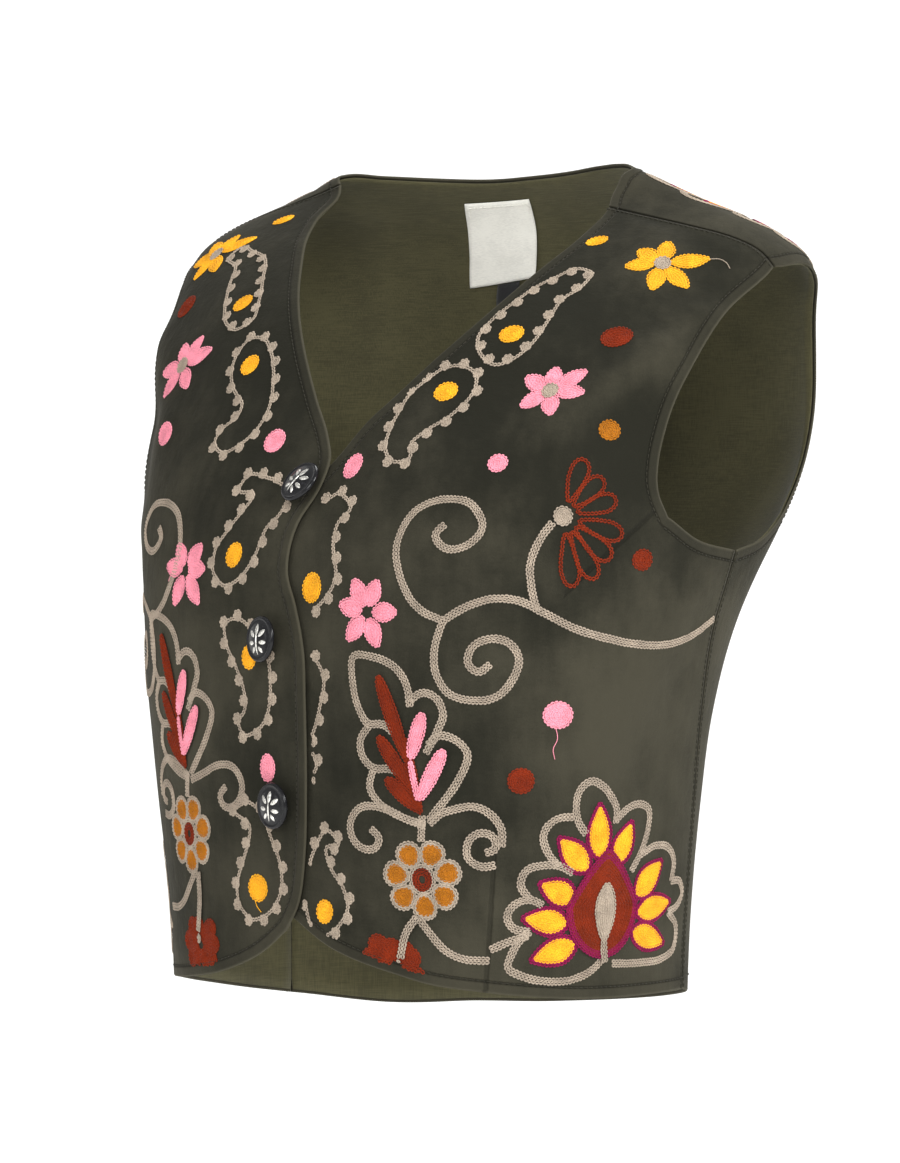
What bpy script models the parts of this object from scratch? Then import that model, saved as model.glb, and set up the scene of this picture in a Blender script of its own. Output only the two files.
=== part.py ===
"""Embroidered waistcoat, filled out with no wearer inside it.

Metres, +Z up. The front faces -Y and +X is the wearer's left. The origin lies on the
shoulder line, midway between the neck ends of the shoulders. Each cloth piece is a wall
whose points are read off one body form, given by level sections, and moved out or in
along that form's normal. A place on the form is an angle about the section's centre
(0 at the wearer's left side, -90 at the centre front, 90 at the centre back) and a height.
"""
import math
from collections import namedtuple

import bmesh
import bpy
import numpy as np
from mathutils import Vector

# Walls and clearances
FRONT_WALL = 0.0026
BACK_WALL = 0.0013
LINING_WALL = 0.0010
GAP = 0.0003
SEAM_PULL = 0.6 * GAP
LABEL_CLEAR = 1.6 * GAP
OVERLAP_GAP = 0.0004
LABEL_WALL = 0.0010
SIZE_TAB_WALL = 0.0010

# Grid counts: columns and rows of each block of a panel
FRONT_COLUMNS = 10
UNDERARM_COLUMNS = 5
LOWER_ROWS = 13
FRONT_UPPER_ROWS = 11
BACK_COLUMNS = 18
BACK_ARMHOLE_ROWS = 9
CURVE_SAMPLES = 240
LABEL_COLUMNS = 5
LABEL_ROWS = 5
TAB_COLUMNS = 2
TAB_ROWS = 1

# The hips are turned under the shoulders, as the garment is posed
HIP_TURN = -7.0
TURN_TOP = -0.060
TURN_BOTTOM = -0.230

# The left shoulder hangs a little lower than the right one, per metre from the centre
SHOULDER_DROP = 0.028
DROP_START = -0.160
DROP_FULL = -0.050

Level = namedtuple("Level", "height half_width centre front back front_square back_square")
LEVELS = (
    Level(-0.460, 0.138, -0.043, -0.155, 0.050, 2.35, 2.65),
    Level(-0.380, 0.141, -0.043, -0.157, 0.053, 2.40, 2.60),
    Level(-0.325, 0.147, -0.043, -0.159, 0.058, 2.50, 2.50),
    Level(-0.280, 0.154, -0.042, -0.160, 0.064, 2.50, 2.40),
    Level(-0.240, 0.162, -0.038, -0.159, 0.072, 2.55, 2.45),
    Level(-0.210, 0.169, -0.030, -0.156, 0.081, 2.60, 2.60),
    Level(-0.180, 0.176, -0.020, -0.149, 0.088, 2.60, 2.80),
    Level(-0.150, 0.182, -0.010, -0.136, 0.092, 2.65, 2.95),
    Level(-0.120, 0.187, -0.001, -0.120, 0.092, 2.50, 2.90),
    Level(-0.094, 0.190, 0.005, -0.105, 0.089, 2.45, 2.70),
    Level(-0.068, 0.189, 0.010, -0.084, 0.084, 2.40, 2.50),
    Level(-0.050, 0.185, 0.012, -0.064, 0.078, 2.45, 2.40),
    Level(-0.038, 0.177, 0.013, -0.049, 0.072, 2.50, 2.30),
    Level(-0.025, 0.156, 0.012, -0.031, 0.065, 2.40, 2.10),
    Level(-0.012, 0.122, 0.008, -0.017, 0.054, 2.20, 2.05),
    Level(0.000, 0.095, 0.005, -0.011, 0.042, 2.00, 2.00),
    Level(0.012, 0.068, 0.003, -0.005, 0.034, 2.00, 2.00),
)

# Soft folds: a ridge (or a trough, where rise is negative) from one place to another
Fold = namedtuple("Fold", "angle height end_angle end_height half_width rise")
FOLD_RADIUS = 0.150
FRONT_RADIUS = 0.118
FOLDS = (
    Fold(-21.0, -0.078, -40.0, -0.128, 0.013, 0.0035),
    Fold(-26.0, -0.097, -36.0, -0.122, 0.010, 0.0025),
    Fold(-30.0, -0.128, -27.0, -0.160, 0.016, -0.0040),
    Fold(-19.0, -0.034, -26.0, -0.056, 0.009, 0.0018),
    Fold(-15.5, -0.040, -23.0, -0.062, 0.009, -0.0018),
    Fold(-27.0, -0.205, -32.0, -0.232, 0.018, -0.0035),
    Fold(-2.0, -0.215, -16.0, -0.290, 0.020, 0.0025),
    Fold(-54.0, -0.376, -57.0, -0.400, 0.014, -0.0025),
    Fold(-158.0, -0.092, -143.0, -0.132, 0.013, 0.0030),
    Fold(-152.0, -0.132, -150.0, -0.165, 0.016, -0.0035),
    Fold(-150.0, -0.206, -147.0, -0.235, 0.018, -0.0030),
    Fold(-176.0, -0.220, -164.0, -0.290, 0.020, 0.0022),
    Fold(32.0, -0.150, 52.0, -0.215, 0.020, 0.0035),
    Fold(30.0, -0.215, 46.0, -0.280, 0.020, -0.0025),
    Fold(147.0, -0.155, 126.0, -0.225, 0.020, 0.0032),
    Fold(150.0, -0.225, 135.0, -0.285, 0.020, -0.0025),
    Fold(78.0, -0.300, 74.0, -0.400, 0.022, -0.0028),
    Fold(103.0, -0.310, 108.0, -0.405, 0.022, -0.0025),
)

# Outlines. The right side's tables are written as if seen in a mirror, angle for angle
Place = namedtuple("Place", "angle height")
NECK_EDGE = {
    "left": (
        Place(-91.6, -0.1600),
        Place(-88.5, -0.1500),
        Place(-85.5, -0.1390),
        Place(-78.5, -0.1210),
        Place(-69.0, -0.0970),
        Place(-51.5, -0.0610),
        Place(-35.5, -0.0380),
        Place(-17.5, -0.0180),
    ),
    "right": (
        Place(-92.0, -0.1580),
        Place(-91.5, -0.1500),
        Place(-88.5, -0.1400),
        Place(-79.8, -0.1200),
        Place(-69.0, -0.0950),
        Place(-56.0, -0.0690),
        Place(-38.0, -0.0420),
        Place(-19.0, -0.0205),
        Place(-7.0, -0.0050),
    ),
}
FRONT_EDGE = {
    "left": (
        Place(-90.5, -0.379),
        Place(-95.5, -0.362),
        Place(-97.5, -0.345),
        Place(-97.5, -0.300),
        Place(-97.0, -0.240),
        Place(-96.0, -0.200),
        Place(-94.0, -0.175),
        Place(-91.6, -0.160),
    ),
    "right": (
        Place(-90.0, -0.387),
        Place(-94.0, -0.374),
        Place(-96.8, -0.346),
        Place(-97.5, -0.321),
        Place(-97.3, -0.270),
        Place(-96.6, -0.248),
        Place(-93.2, -0.224),
        Place(-89.2, -0.206),
        Place(-89.0, -0.183),
        Place(-91.8, -0.165),
        Place(-92.0, -0.158),
    ),
}
FRONT_HEM = {
    "left": (
        Place(-90.5, -0.379),
        Place(-85.5, -0.385),
        Place(-77.5, -0.393),
        Place(-62.0, -0.404),
        Place(-51.5, -0.410),
        Place(-38.5, -0.414),
        Place(-21.0, -0.418),
        Place(0.0, -0.4195),
        Place(16.0, -0.4195),
    ),
    "right": (
        Place(-90.0, -0.387),
        Place(-81.5, -0.399),
        Place(-69.5, -0.409),
        Place(-49.5, -0.417),
        Place(-30.0, -0.421),
        Place(-12.0, -0.428),
        Place(5.0, -0.4350),
        Place(16.0, -0.439),
    ),
}
SIDE_SEAM = {
    "left": (
        Place(16.0, -0.4195),
        Place(15.5, -0.3400),
        Place(11.0, -0.2720),
        Place(6.5, -0.2250),
        Place(4.0, -0.1960),
    ),
    "right": (
        Place(16.0, -0.4390),
        Place(15.5, -0.3450),
        Place(11.0, -0.2740),
        Place(6.5, -0.2250),
        Place(4.0, -0.1960),
    ),
}
ARMHOLE_BOTTOM_FRONT = (
    Place(-16.5, -0.1790),
    Place(-8.0, -0.1900),
    Place(4.0, -0.1960),
)
ARMHOLE_BOTTOM_BACK = (
    Place(4.0, -0.1960),
    Place(12.0, -0.1900),
    Place(18.0, -0.1770),
)
SHOULDER_SEAM = {
    "left": (
        Place(-17.5, -0.0180),
        Place(-15.0, -0.0230),
        Place(-12.5, -0.0275),
        Place(-10.2, -0.0320),
        Place(-8.6, -0.0375),
        Place(-7.2, -0.0480),
    ),
    "right": (
        Place(-7.0, -0.0050),
        Place(-6.8, -0.0120),
        Place(-6.2, -0.0240),
        Place(-5.6, -0.0330),
        Place(-5.0, -0.0400),
        Place(-4.4, -0.0480),
    ),
}
ARMHOLE_FRONT = (
    Place(-16.5, -0.1790),
    Place(-20.0, -0.1680),
    Place(-22.5, -0.1520),
    Place(-23.5, -0.1330),
    Place(-22.5, -0.1070),
    Place(-17.0, -0.0730),
)
ARMHOLE_BACK = (
    Place(18.0, -0.1770),
    Place(20.5, -0.1550),
    Place(20.0, -0.1250),
    Place(17.8, -0.0950),
    Place(13.8, -0.0700),
    Place(8.5, -0.0540),
    Place(2.0, -0.0455),
)
BACK_NECK = (
    Place(-17.5, -0.0180),
    Place(-13.5, -0.0130),
    Place(-9.2, -0.0070),
    Place(-5.0, -0.0005),
    Place(4.0, 0.0050),
    Place(15.0, 0.0065),
    Place(25.0, 0.0060),
    Place(45.0, 0.0038),
    Place(88.0, 0.0012),
    Place(133.0, -0.0003),
    Place(153.0, 0.0003),
    Place(166.5, 0.0010),
    Place(178.0, 0.0012),
    Place(183.5, -0.0015),
    Place(187.0, -0.0050),
)
BACK_HEM = (
    Place(16.0, -0.4195),
    Place(50.0, -0.432),
    Place(86.0, -0.439),
    Place(116.0, -0.442),
    Place(143.0, -0.445),
    Place(164.0, -0.439),
)
UPPER_BLOCK_START = -0.186

# The left front passes under the right one: full depth to this angle past the right
# front's edge, then rising to the surface over the fade
TUCK_FULL = 0.004
TUCK_FADE = 0.034

# Label and size tab, on the lining below the back neck
LABEL = {
    "top_left": Place(94.0, -0.0085),
    "top_right": Place(136.0, -0.0110),
    "bottom_right": Place(130.5, -0.0565),
    "bottom_left": Place(103.0, -0.0500),
}
TAB_START = 0.30
TAB_WIDTH = 0.34
TAB_DROP = 0.0135

# Buttons: domed discs on short shanks, on the right front. Lean tips the face upward,
# and turn faces it towards the wearer's right
Button = namedtuple("Button", "name angle height lean turn")
BUTTONS = (
    Button("button_top", -91.5, -0.165, 13.0, 9.0),
    Button("button_middle", -94.0, -0.241, 0.0, 14.0),
    Button("button_bottom", -90.5, -0.324, 0.0, 10.0),
)
BUTTON_RADIUS = 0.0118
BUTTON_SEGMENTS = 28
SHANK_RADIUS = 0.0032
# The half outline: a share of the radius, and the height above the cloth
BUTTON_PROFILE = (
    (0.000, 0.0000),
    (SHANK_RADIUS / BUTTON_RADIUS, 0.0000),
    (SHANK_RADIUS / BUTTON_RADIUS, 0.0034),
    (0.860, 0.0036),
    (1.000, 0.0046),
    (1.000, 0.0058),
    (0.900, 0.0064),
    (0.820, 0.0060),
    (0.450, 0.0074),
    (0.000, 0.0080),
)

VELVET = (0.045, 0.048, 0.036)
LINING = (0.030, 0.034, 0.018)
BUTTON_BLACK = (0.012, 0.012, 0.013)
LABEL_CREAM = (0.72, 0.70, 0.62)
TAB_BLACK = (0.010, 0.010, 0.010)


def smooth(positions, values, wanted):
    """A smooth curve through (position, value) pairs, read at the wanted positions."""
    positions = np.asarray(positions, float)
    values = np.asarray(values, float)
    steps = np.diff(positions)
    slopes = np.diff(values) / steps
    tangents = np.empty_like(values)
    tangents[0] = slopes[0]
    tangents[-1] = slopes[-1]
    before, after = steps[:-1], steps[1:]
    tangents[1:-1] = (slopes[:-1] * after + slopes[1:] * before) / (before + after)
    wanted = np.clip(wanted, positions[0], positions[-1])
    span = np.clip(np.searchsorted(positions, wanted) - 1, 0, len(steps) - 1)
    t = (wanted - positions[span]) / steps[span]
    length = steps[span]
    start = (2 * t**3 - 3 * t**2 + 1) * values[span]
    start_pull = (t**3 - 2 * t**2 + t) * length * tangents[span]
    end = (3 * t**2 - 2 * t**3) * values[span + 1]
    end_pull = (t**3 - t**2) * length * tangents[span + 1]
    return start + start_pull + end + end_pull


def ease(low, high, value):
    """0 below low, 1 above high, smooth between."""
    t = np.clip((value - low) / (high - low), 0.0, 1.0)
    return t * t * (3 - 2 * t)


def section(height):
    """The level section's sizes at a height."""
    heights = [level.height for level in LEVELS]
    return [smooth(heights, [level[k] for level in LEVELS], height) for k in range(1, 7)]


def turned(points):
    """Points turned about the Z axis by the hips' turn at their height."""
    amount = 1 - ease(TURN_BOTTOM, TURN_TOP, points[..., 2])
    turn = np.radians(HIP_TURN) * amount
    x = points[..., 0] * np.cos(turn) - points[..., 1] * np.sin(turn)
    y = points[..., 0] * np.sin(turn) + points[..., 1] * np.cos(turn)
    return np.stack([x, y, points[..., 2]], axis=-1)


def dropped(points):
    """Points with the left shoulder lowered and the right one raised."""
    drop = SHOULDER_DROP * points[..., 0] * ease(DROP_START, DROP_FULL, points[..., 2])
    return points - drop[..., None] * np.array([0.0, 0.0, 1.0])


def form(angle, height):
    """Points of the plain body form."""
    half_width, centre, front, back, front_square, back_square = section(height)
    cosine, sine = np.cos(np.radians(angle)), np.sin(np.radians(angle))
    square = np.where(sine < 0, front_square, back_square)
    depth = np.where(sine < 0, centre - front, back - centre)
    reach = (np.abs(cosine / half_width) ** square + np.abs(sine / depth) ** square) ** (-1 / square)
    plain = np.stack([reach * cosine, centre + reach * sine, height + 0 * angle], axis=-1)
    return dropped(turned(plain))


def normal(angle, height):
    """Unit outward normals of the plain body form."""
    step_angle, step_height = 0.5, 0.0005
    across = form(angle + step_angle, height) - form(angle - step_angle, height)
    up = form(angle, height + step_height) - form(angle, height - step_height)
    product = np.cross(across, up)
    return product / np.linalg.norm(product, axis=-1, keepdims=True)


def fold_rise(angle, height):
    """How far the soft folds lift the cloth at a place."""
    total = np.zeros_like(angle)
    for fold in FOLDS:
        start = np.array([math.radians(fold.angle) * FOLD_RADIUS, fold.height])
        end = np.array([math.radians(fold.end_angle) * FOLD_RADIUS, fold.end_height])
        wrapped = (angle - fold.angle + 180.0) % 360.0 - 180.0 + fold.angle
        place = np.stack([np.radians(wrapped) * FOLD_RADIUS, height], axis=-1)
        run = end - start
        along = np.clip((place - start) @ run / (run @ run), 0.0, 1.0)
        distance = np.linalg.norm(place - start - along[..., None] * run, axis=-1)
        total = total + fold.rise * np.exp(-((distance / fold.half_width) ** 2))
    return total


def cloth(places, out):
    """Points at places (angle, height), moved out from the folded form along its normal."""
    angle, height = places[..., 0], places[..., 1]
    rise = fold_rise(angle, height) + out
    return form(angle, height) + normal(angle, height) * rise[..., None]


def mirrored(places):
    """Places on the wearer's right for places written for the left."""
    return np.stack([180.0 - places[..., 0], places[..., 1]], axis=-1)


def length_plane(places):
    """Places as lengths, near enough for spacing."""
    return np.stack([np.radians(places[..., 0]) * FOLD_RADIUS, places[..., 1]], axis=-1)


def fine_curve(rows):
    """A smooth curve through table rows, as many close places."""
    rows = np.array(rows, float)
    chords = np.linalg.norm(np.diff(length_plane(rows), axis=0), axis=1)
    marks = np.concatenate([[0.0], np.cumsum(chords)])
    fine = np.linspace(0.0, marks[-1], CURVE_SAMPLES + 1)
    return np.stack([smooth(marks, rows[:, k], fine) for k in range(2)], axis=1)


def evenly(fine, count):
    """count + 1 places along a fine curve, evenly spaced on the cloth."""
    steps = np.linalg.norm(np.diff(cloth(fine, np.zeros(len(fine))), axis=0), axis=1)
    run = np.concatenate([[0.0], np.cumsum(steps)])
    even = np.linspace(0.0, run[-1], count + 1)
    return np.stack([np.interp(even, run, fine[:, k]) for k in range(2)], axis=1)


def curve(rows, count):
    return evenly(fine_curve(rows), count)


def joined(first, second):
    """Two curves that share an end, as one."""
    return np.concatenate([first, second[1:]])


def patch(bottom, top, left, right):
    """A grid of places filled between four boundary curves, two and two facing."""
    columns, rows = len(bottom), len(left)
    u = np.linspace(0, 1, columns)[None, :, None]
    v = np.linspace(0, 1, rows)[:, None, None]
    between_rows = (1 - v) * bottom[None] + v * top[None]
    between_columns = (1 - u) * left[:, None] + u * right[:, None]
    low = (1 - u) * bottom[0] + u * bottom[-1]
    high = (1 - u) * top[0] + u * top[-1]
    return between_rows + between_columns - ((1 - v) * low + v * high)


class Sheet:
    """A cloth sheet: places, joined by four-sided cells."""

    def __init__(self):
        self.places = []
        self.cells = []
        self.index = {}

    @staticmethod
    def key(place):
        return round(float(place[0]), 4), round(float(place[1]), 6)

    def corner(self, place):
        key = self.key(place)
        if key not in self.index:
            self.index[key] = len(self.places)
            self.places.append([float(place[0]), float(place[1])])
        return self.index[key]

    def add(self, grid):
        numbers = [[self.corner(place) for place in row] for row in grid]
        for low, high in zip(numbers, numbers[1:]):
            for k in range(len(low) - 1):
                self.cells.append((low[k], low[k + 1], high[k + 1], high[k]))

    def pull_in(self, seam):
        """Move the places of a seam curve into the sheet by half the gap between pieces."""
        on_seam = {self.index[self.key(place)] for place in seam}
        places = np.array(self.places)
        flat = cloth(places, np.zeros(len(places)))
        for number in on_seam:
            mates = {other for cell in self.cells if number in cell for other in cell}
            inner = sorted(mates - on_seam)
            if not inner:
                continue
            centre = places[inner].mean(axis=0)
            distance = np.linalg.norm(flat[inner].mean(axis=0) - flat[number])
            share = SEAM_PULL / distance
            self.places[number] = list(places[number] + share * (centre - places[number]))

    def reversed_cells(self):
        self.cells = [cell[::-1] for cell in self.cells]


def front_curves(side):
    """The outline curves of one front, in places written for the left."""
    edge = fine_curve(FRONT_EDGE[side][:-1] + NECK_EDGE[side])
    start = int(np.argmin(np.abs(edge[:, 1] - UPPER_BLOCK_START)))
    armhole_rows = ARMHOLE_FRONT + (SHOULDER_SEAM[side][-1],)
    return {
        "lower_edge": evenly(edge[: start + 1], LOWER_ROWS),
        "upper_edge": evenly(edge[start:], FRONT_UPPER_ROWS),
        "hem": curve(FRONT_HEM[side], FRONT_COLUMNS + UNDERARM_COLUMNS),
        "side": curve(SIDE_SEAM[side], LOWER_ROWS),
        "underarm": curve(ARMHOLE_BOTTOM_FRONT, UNDERARM_COLUMNS),
        "armhole": curve(armhole_rows, FRONT_UPPER_ROWS),
        "shoulder": curve(SHOULDER_SEAM[side], FRONT_COLUMNS),
    }


def front_sheet(side):
    curves = front_curves(side)
    chest_row = np.linspace(curves["upper_edge"][0], curves["underarm"][0], FRONT_COLUMNS + 1)
    sheet = Sheet()
    lower_top = joined(chest_row, curves["underarm"])
    sheet.add(patch(curves["hem"], lower_top, curves["lower_edge"], curves["side"]))
    sheet.add(patch(chest_row, curves["shoulder"], curves["upper_edge"], curves["armhole"]))
    sheet.pull_in(curves["side"])
    sheet.pull_in(curves["shoulder"])
    return sheet


def back_side(side):
    """One side boundary of the back's upper block, from under the arm to the neck."""
    seam = SHOULDER_SEAM[side]
    armhole = curve(ARMHOLE_BACK + (seam[-1],), BACK_ARMHOLE_ROWS)
    shoulder = curve(seam, FRONT_COLUMNS)[::-1]
    return joined(armhole, shoulder), shoulder


def steady(side):
    """A side boundary whose heights never fall again, to space the rows between."""
    guide = side.copy()
    last = BACK_ARMHOLE_ROWS - 1
    share = np.linspace(0.0, 1.0, len(side) - last)
    guide[last:, 1] = side[last, 1] + share * (side[-1, 1] - side[last, 1])
    return guide


def back_sheet():
    left_side, left_shoulder = back_side("left")
    right_side, right_shoulder = back_side("right")
    right_side, right_shoulder = mirrored(right_side), mirrored(right_shoulder)
    left_seam = curve(SIDE_SEAM["left"], LOWER_ROWS)
    right_seam = mirrored(curve(SIDE_SEAM["right"], LOWER_ROWS))
    left_underarm = curve(ARMHOLE_BOTTOM_BACK, UNDERARM_COLUMNS)
    right_underarm = mirrored(left_underarm)[::-1]
    shoulder_row = np.linspace(left_underarm[-1], right_underarm[0], BACK_COLUMNS + 1)
    lower_top = joined(joined(left_underarm, shoulder_row), right_underarm)
    columns = BACK_COLUMNS + 2 * UNDERARM_COLUMNS
    sheet = Sheet()
    sheet.add(patch(curve(BACK_HEM, columns), lower_top, left_seam, right_seam))
    neck = curve(BACK_NECK, BACK_COLUMNS)
    upper = patch(shoulder_row, neck, steady(left_side), steady(right_side))
    upper[:, 0], upper[:, -1] = left_side, right_side
    sheet.add(upper)
    for seam in (left_seam, right_seam, left_shoulder, right_shoulder):
        sheet.pull_in(seam)
    return sheet


def tuck(places):
    """How far the left front lies under the form, where the right front covers it."""
    rows = FRONT_EDGE["right"][:-1] + NECK_EDGE["right"][:-2]
    heights = [row.height for row in rows]
    cover = 180.0 - smooth(heights, [row.angle for row in rows], places[:, 1]) - 360.0
    reach = np.radians(places[:, 0] - cover) * FRONT_RADIUS
    return (FRONT_WALL + OVERLAP_GAP) * (1 - ease(TUCK_FULL, TUCK_FADE, reach))


def material(name, colour, roughness, sheen=0.0):
    made = bpy.data.materials.new(name)
    made.use_nodes = True
    shader = made.node_tree.nodes["Principled BSDF"]
    shader.inputs["Base Color"].default_value = (*colour, 1.0)
    shader.inputs["Roughness"].default_value = roughness
    shader.inputs["Metallic"].default_value = 0.0
    shader.inputs["Sheen Weight"].default_value = sheen
    made.diffuse_color = (*colour, 1.0)
    return made


def place_object(name, mesh, finish):
    thing = bpy.data.objects.new(name, mesh)
    thing.data.materials.append(finish)
    bpy.context.scene.collection.objects.link(thing)
    return thing


def triangles(sheet):
    """The sheet's cells, each cut along its shorter diagonal on the plain form."""
    places = np.array(sheet.places)
    plain = form(places[:, 0], places[:, 1])
    cut = []
    for a, b, c, d in sheet.cells:
        if np.linalg.norm(plain[a] - plain[c]) <= np.linalg.norm(plain[b] - plain[d]):
            cut += [(a, b, c), (a, c, d)]
        else:
            cut += [(a, b, d), (b, c, d)]
    return cut


def wall(name, sheet, outer, thickness, finish):
    """A closed cloth wall between a sheet's outer points and its points one wall further in."""
    places = np.array(sheet.places)
    made = bmesh.new()
    skins = []
    for out in (outer, outer - thickness):
        skins.append([made.verts.new(point) for point in cloth(places, out)])
    outside, inside = skins
    for corners in triangles(sheet):
        made.faces.new([outside[k] for k in corners])
        made.faces.new([inside[k] for k in reversed(corners)])
    uses = {}
    for cell in sheet.cells:
        for a, b in zip(cell, cell[1:] + cell[:1]):
            uses[(a, b)] = True
    for a, b in uses:
        if (b, a) not in uses:
            made.faces.new([outside[b], outside[a], inside[a], inside[b]])
    bmesh.ops.recalc_face_normals(made, faces=made.faces)
    mesh = bpy.data.meshes.new(name)
    made.to_mesh(mesh)
    made.free()
    return place_object(name, mesh, finish)


def make_fronts(velvet):
    left = front_sheet("left")
    depth = tuck(np.array(left.places))
    wall("front_left", left, -depth, FRONT_WALL, velvet)
    right = front_sheet("right")
    right.places = mirrored(np.array(right.places)).tolist()
    right.reversed_cells()
    wall("front_right", right, np.zeros(len(right.places)), FRONT_WALL, velvet)


def make_back(velvet, lining):
    sheet = back_sheet()
    flat = np.zeros(len(sheet.places))
    wall("back", sheet, flat, BACK_WALL, velvet)
    wall("back_lining", sheet, flat - BACK_WALL - GAP, LINING_WALL, lining)


def label_place(across, down):
    """A place on the label: across and down run from 0 to 1."""
    corners = {name: np.array(place) for name, place in LABEL.items()}
    top = (1 - across) * corners["top_left"] + across * corners["top_right"]
    bottom = (1 - across) * corners["bottom_left"] + across * corners["bottom_right"]
    return (1 - down) * top + down * bottom


def make_label(cream, black):
    inner_face = -(BACK_WALL + GAP + LINING_WALL + GAP)
    grid = [[label_place(i / LABEL_COLUMNS, j / LABEL_ROWS) for i in range(LABEL_COLUMNS + 1)]
            for j in range(LABEL_ROWS + 1)]
    sheet = Sheet()
    sheet.add(grid)
    wall("neck_label", sheet, np.full(len(sheet.places), inner_face), LABEL_WALL, cream)
    drop = np.array([0.0, -TAB_DROP])
    clear = np.array([0.0, -LABEL_CLEAR])
    grid = []
    for j in range(TAB_ROWS + 1):
        row = []
        for i in range(TAB_COLUMNS + 1):
            edge = label_place(TAB_START + TAB_WIDTH * i / TAB_COLUMNS, 1.0)
            row.append(edge + clear + drop * j / TAB_ROWS)
        grid.append(row)
    sheet = Sheet()
    sheet.add(grid)
    wall("size_tab", sheet, np.full(len(sheet.places), inner_face), SIZE_TAB_WALL, black)


def button_mesh(name):
    """The button's outline spun about its own +Z axis."""
    made = bmesh.new()
    ring = []
    for radius, height in BUTTON_PROFILE:
        ring.append(made.verts.new((radius * BUTTON_RADIUS, 0.0, height)))
    edges = [made.edges.new(pair) for pair in zip(ring, ring[1:])]
    bmesh.ops.spin(
        made,
        geom=ring + edges,
        cent=(0, 0, 0),
        axis=(0, 0, 1),
        angle=math.tau,
        steps=BUTTON_SEGMENTS,
        use_merge=True,
        use_duplicate=False,
    )
    bmesh.ops.remove_doubles(made, verts=made.verts, dist=0.00002)
    bmesh.ops.recalc_face_normals(made, faces=made.faces)
    mesh = bpy.data.meshes.new(name)
    made.to_mesh(mesh)
    made.free()
    return mesh


def make_buttons(black):
    for row in BUTTONS:
        place = np.array([[row.angle, row.height]])
        out = Vector(normal(place[:, 0], place[:, 1])[0])
        seat = Vector(cloth(place, np.array([GAP]))[0])
        thing = place_object(row.name, button_mesh(row.name), black)
        side = Vector((0, 0, 1)).cross(out).normalized()
        tip = (out.cross(side) * row.lean - side * row.turn).normalized()
        tilt = math.radians(math.hypot(row.lean, row.turn))
        axis = (out * math.cos(tilt) + tip * math.sin(tilt)).normalized()
        lift = SHANK_RADIUS * math.sin(tilt)
        thing.rotation_mode = "QUATERNION"
        thing.rotation_quaternion = axis.to_track_quat("Z", "Y")
        thing.location = seat + out * lift


def main():
    for thing in list(bpy.data.objects):
        bpy.data.objects.remove(thing, do_unlink=True)
    velvet = material("velvet", VELVET, 0.85, 0.6)
    lining = material("lining", LINING, 0.8)
    black = material("button_black", BUTTON_BLACK, 0.25)
    cream = material("label_cream", LABEL_CREAM, 0.8)
    tab = material("tab_black", TAB_BLACK, 0.8)
    make_fronts(velvet)
    make_back(velvet, lining)
    make_label(cream, tab)
    make_buttons(black)


main()
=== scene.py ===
"""Dressing for the embroidered waistcoat: velvet, linings, stitching, embroidery, buttons.

Metres, +Z up. The front faces -Y and +X is the wearer's left. Every piece is made from the
body form that the frame's solids are made from. A place on the form is an angle about the
section's centre (0 at the wearer's left side, -90 at the centre front, 90 at the centre
back) and a height. A motif is drawn in its own flat plane, in millimetres to the viewer's
right and up, and is then laid over the cloth from its place.
"""
import math
from collections import namedtuple

import bmesh
import bpy
import numpy as np
from mathutils import Matrix, Vector


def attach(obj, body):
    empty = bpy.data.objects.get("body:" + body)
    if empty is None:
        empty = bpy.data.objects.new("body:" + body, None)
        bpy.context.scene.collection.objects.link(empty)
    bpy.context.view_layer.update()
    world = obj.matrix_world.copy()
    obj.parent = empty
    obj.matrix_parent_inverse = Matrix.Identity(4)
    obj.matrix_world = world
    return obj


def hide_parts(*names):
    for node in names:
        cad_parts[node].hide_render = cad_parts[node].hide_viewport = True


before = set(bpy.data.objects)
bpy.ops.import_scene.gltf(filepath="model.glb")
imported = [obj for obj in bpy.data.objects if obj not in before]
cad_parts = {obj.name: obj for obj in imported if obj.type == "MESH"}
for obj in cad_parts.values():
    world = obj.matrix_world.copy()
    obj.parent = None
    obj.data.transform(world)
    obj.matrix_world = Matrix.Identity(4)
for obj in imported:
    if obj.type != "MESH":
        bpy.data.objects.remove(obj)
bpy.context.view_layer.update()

bl_info = {
    "name": "Embroidered Waistcoat",
    "version": (1, 0, 0),
    "blender": (4, 5, 0),
    "location": "3D View > Sidebar > Waistcoat",
    "description": "Dresses the packed waistcoat in velvet, linings, stitching and embroidery",
    "category": "Object",
}

BODY = "root"
MM = 0.001

# Walls and clearances, as in the frame
VELVET_WALL = 0.0015
BACK_WALL = 0.0013
FRONT_WALL = 0.0026
LINING_WALL = 0.0009
BACK_LINING_WALL = 0.0010
GAP = 0.0003
SEAM_PULL = 0.6 * GAP
OVERLAP_GAP = 0.0004

# Share of a wall's thickness that its edge is rounded by on each face
EDGE_ROUND = 0.32

# Distances of the close rows beside a sewn or turned edge
EDGE_ROWS = (0.0, 0.0008, 0.0018, 0.0030, 0.0042, 0.0052, 0.0062, 0.0078, 0.0100)
CURVE_SAMPLES = 400

# The hips are turned under the shoulders, as the garment is posed
HIP_TURN = -7.0
TURN_TOP = -0.060
TURN_BOTTOM = -0.230

# The left shoulder hangs a little lower than the right one, per metre from the centre
SHOULDER_DROP = 0.028
DROP_START = -0.160
DROP_FULL = -0.050

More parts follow.
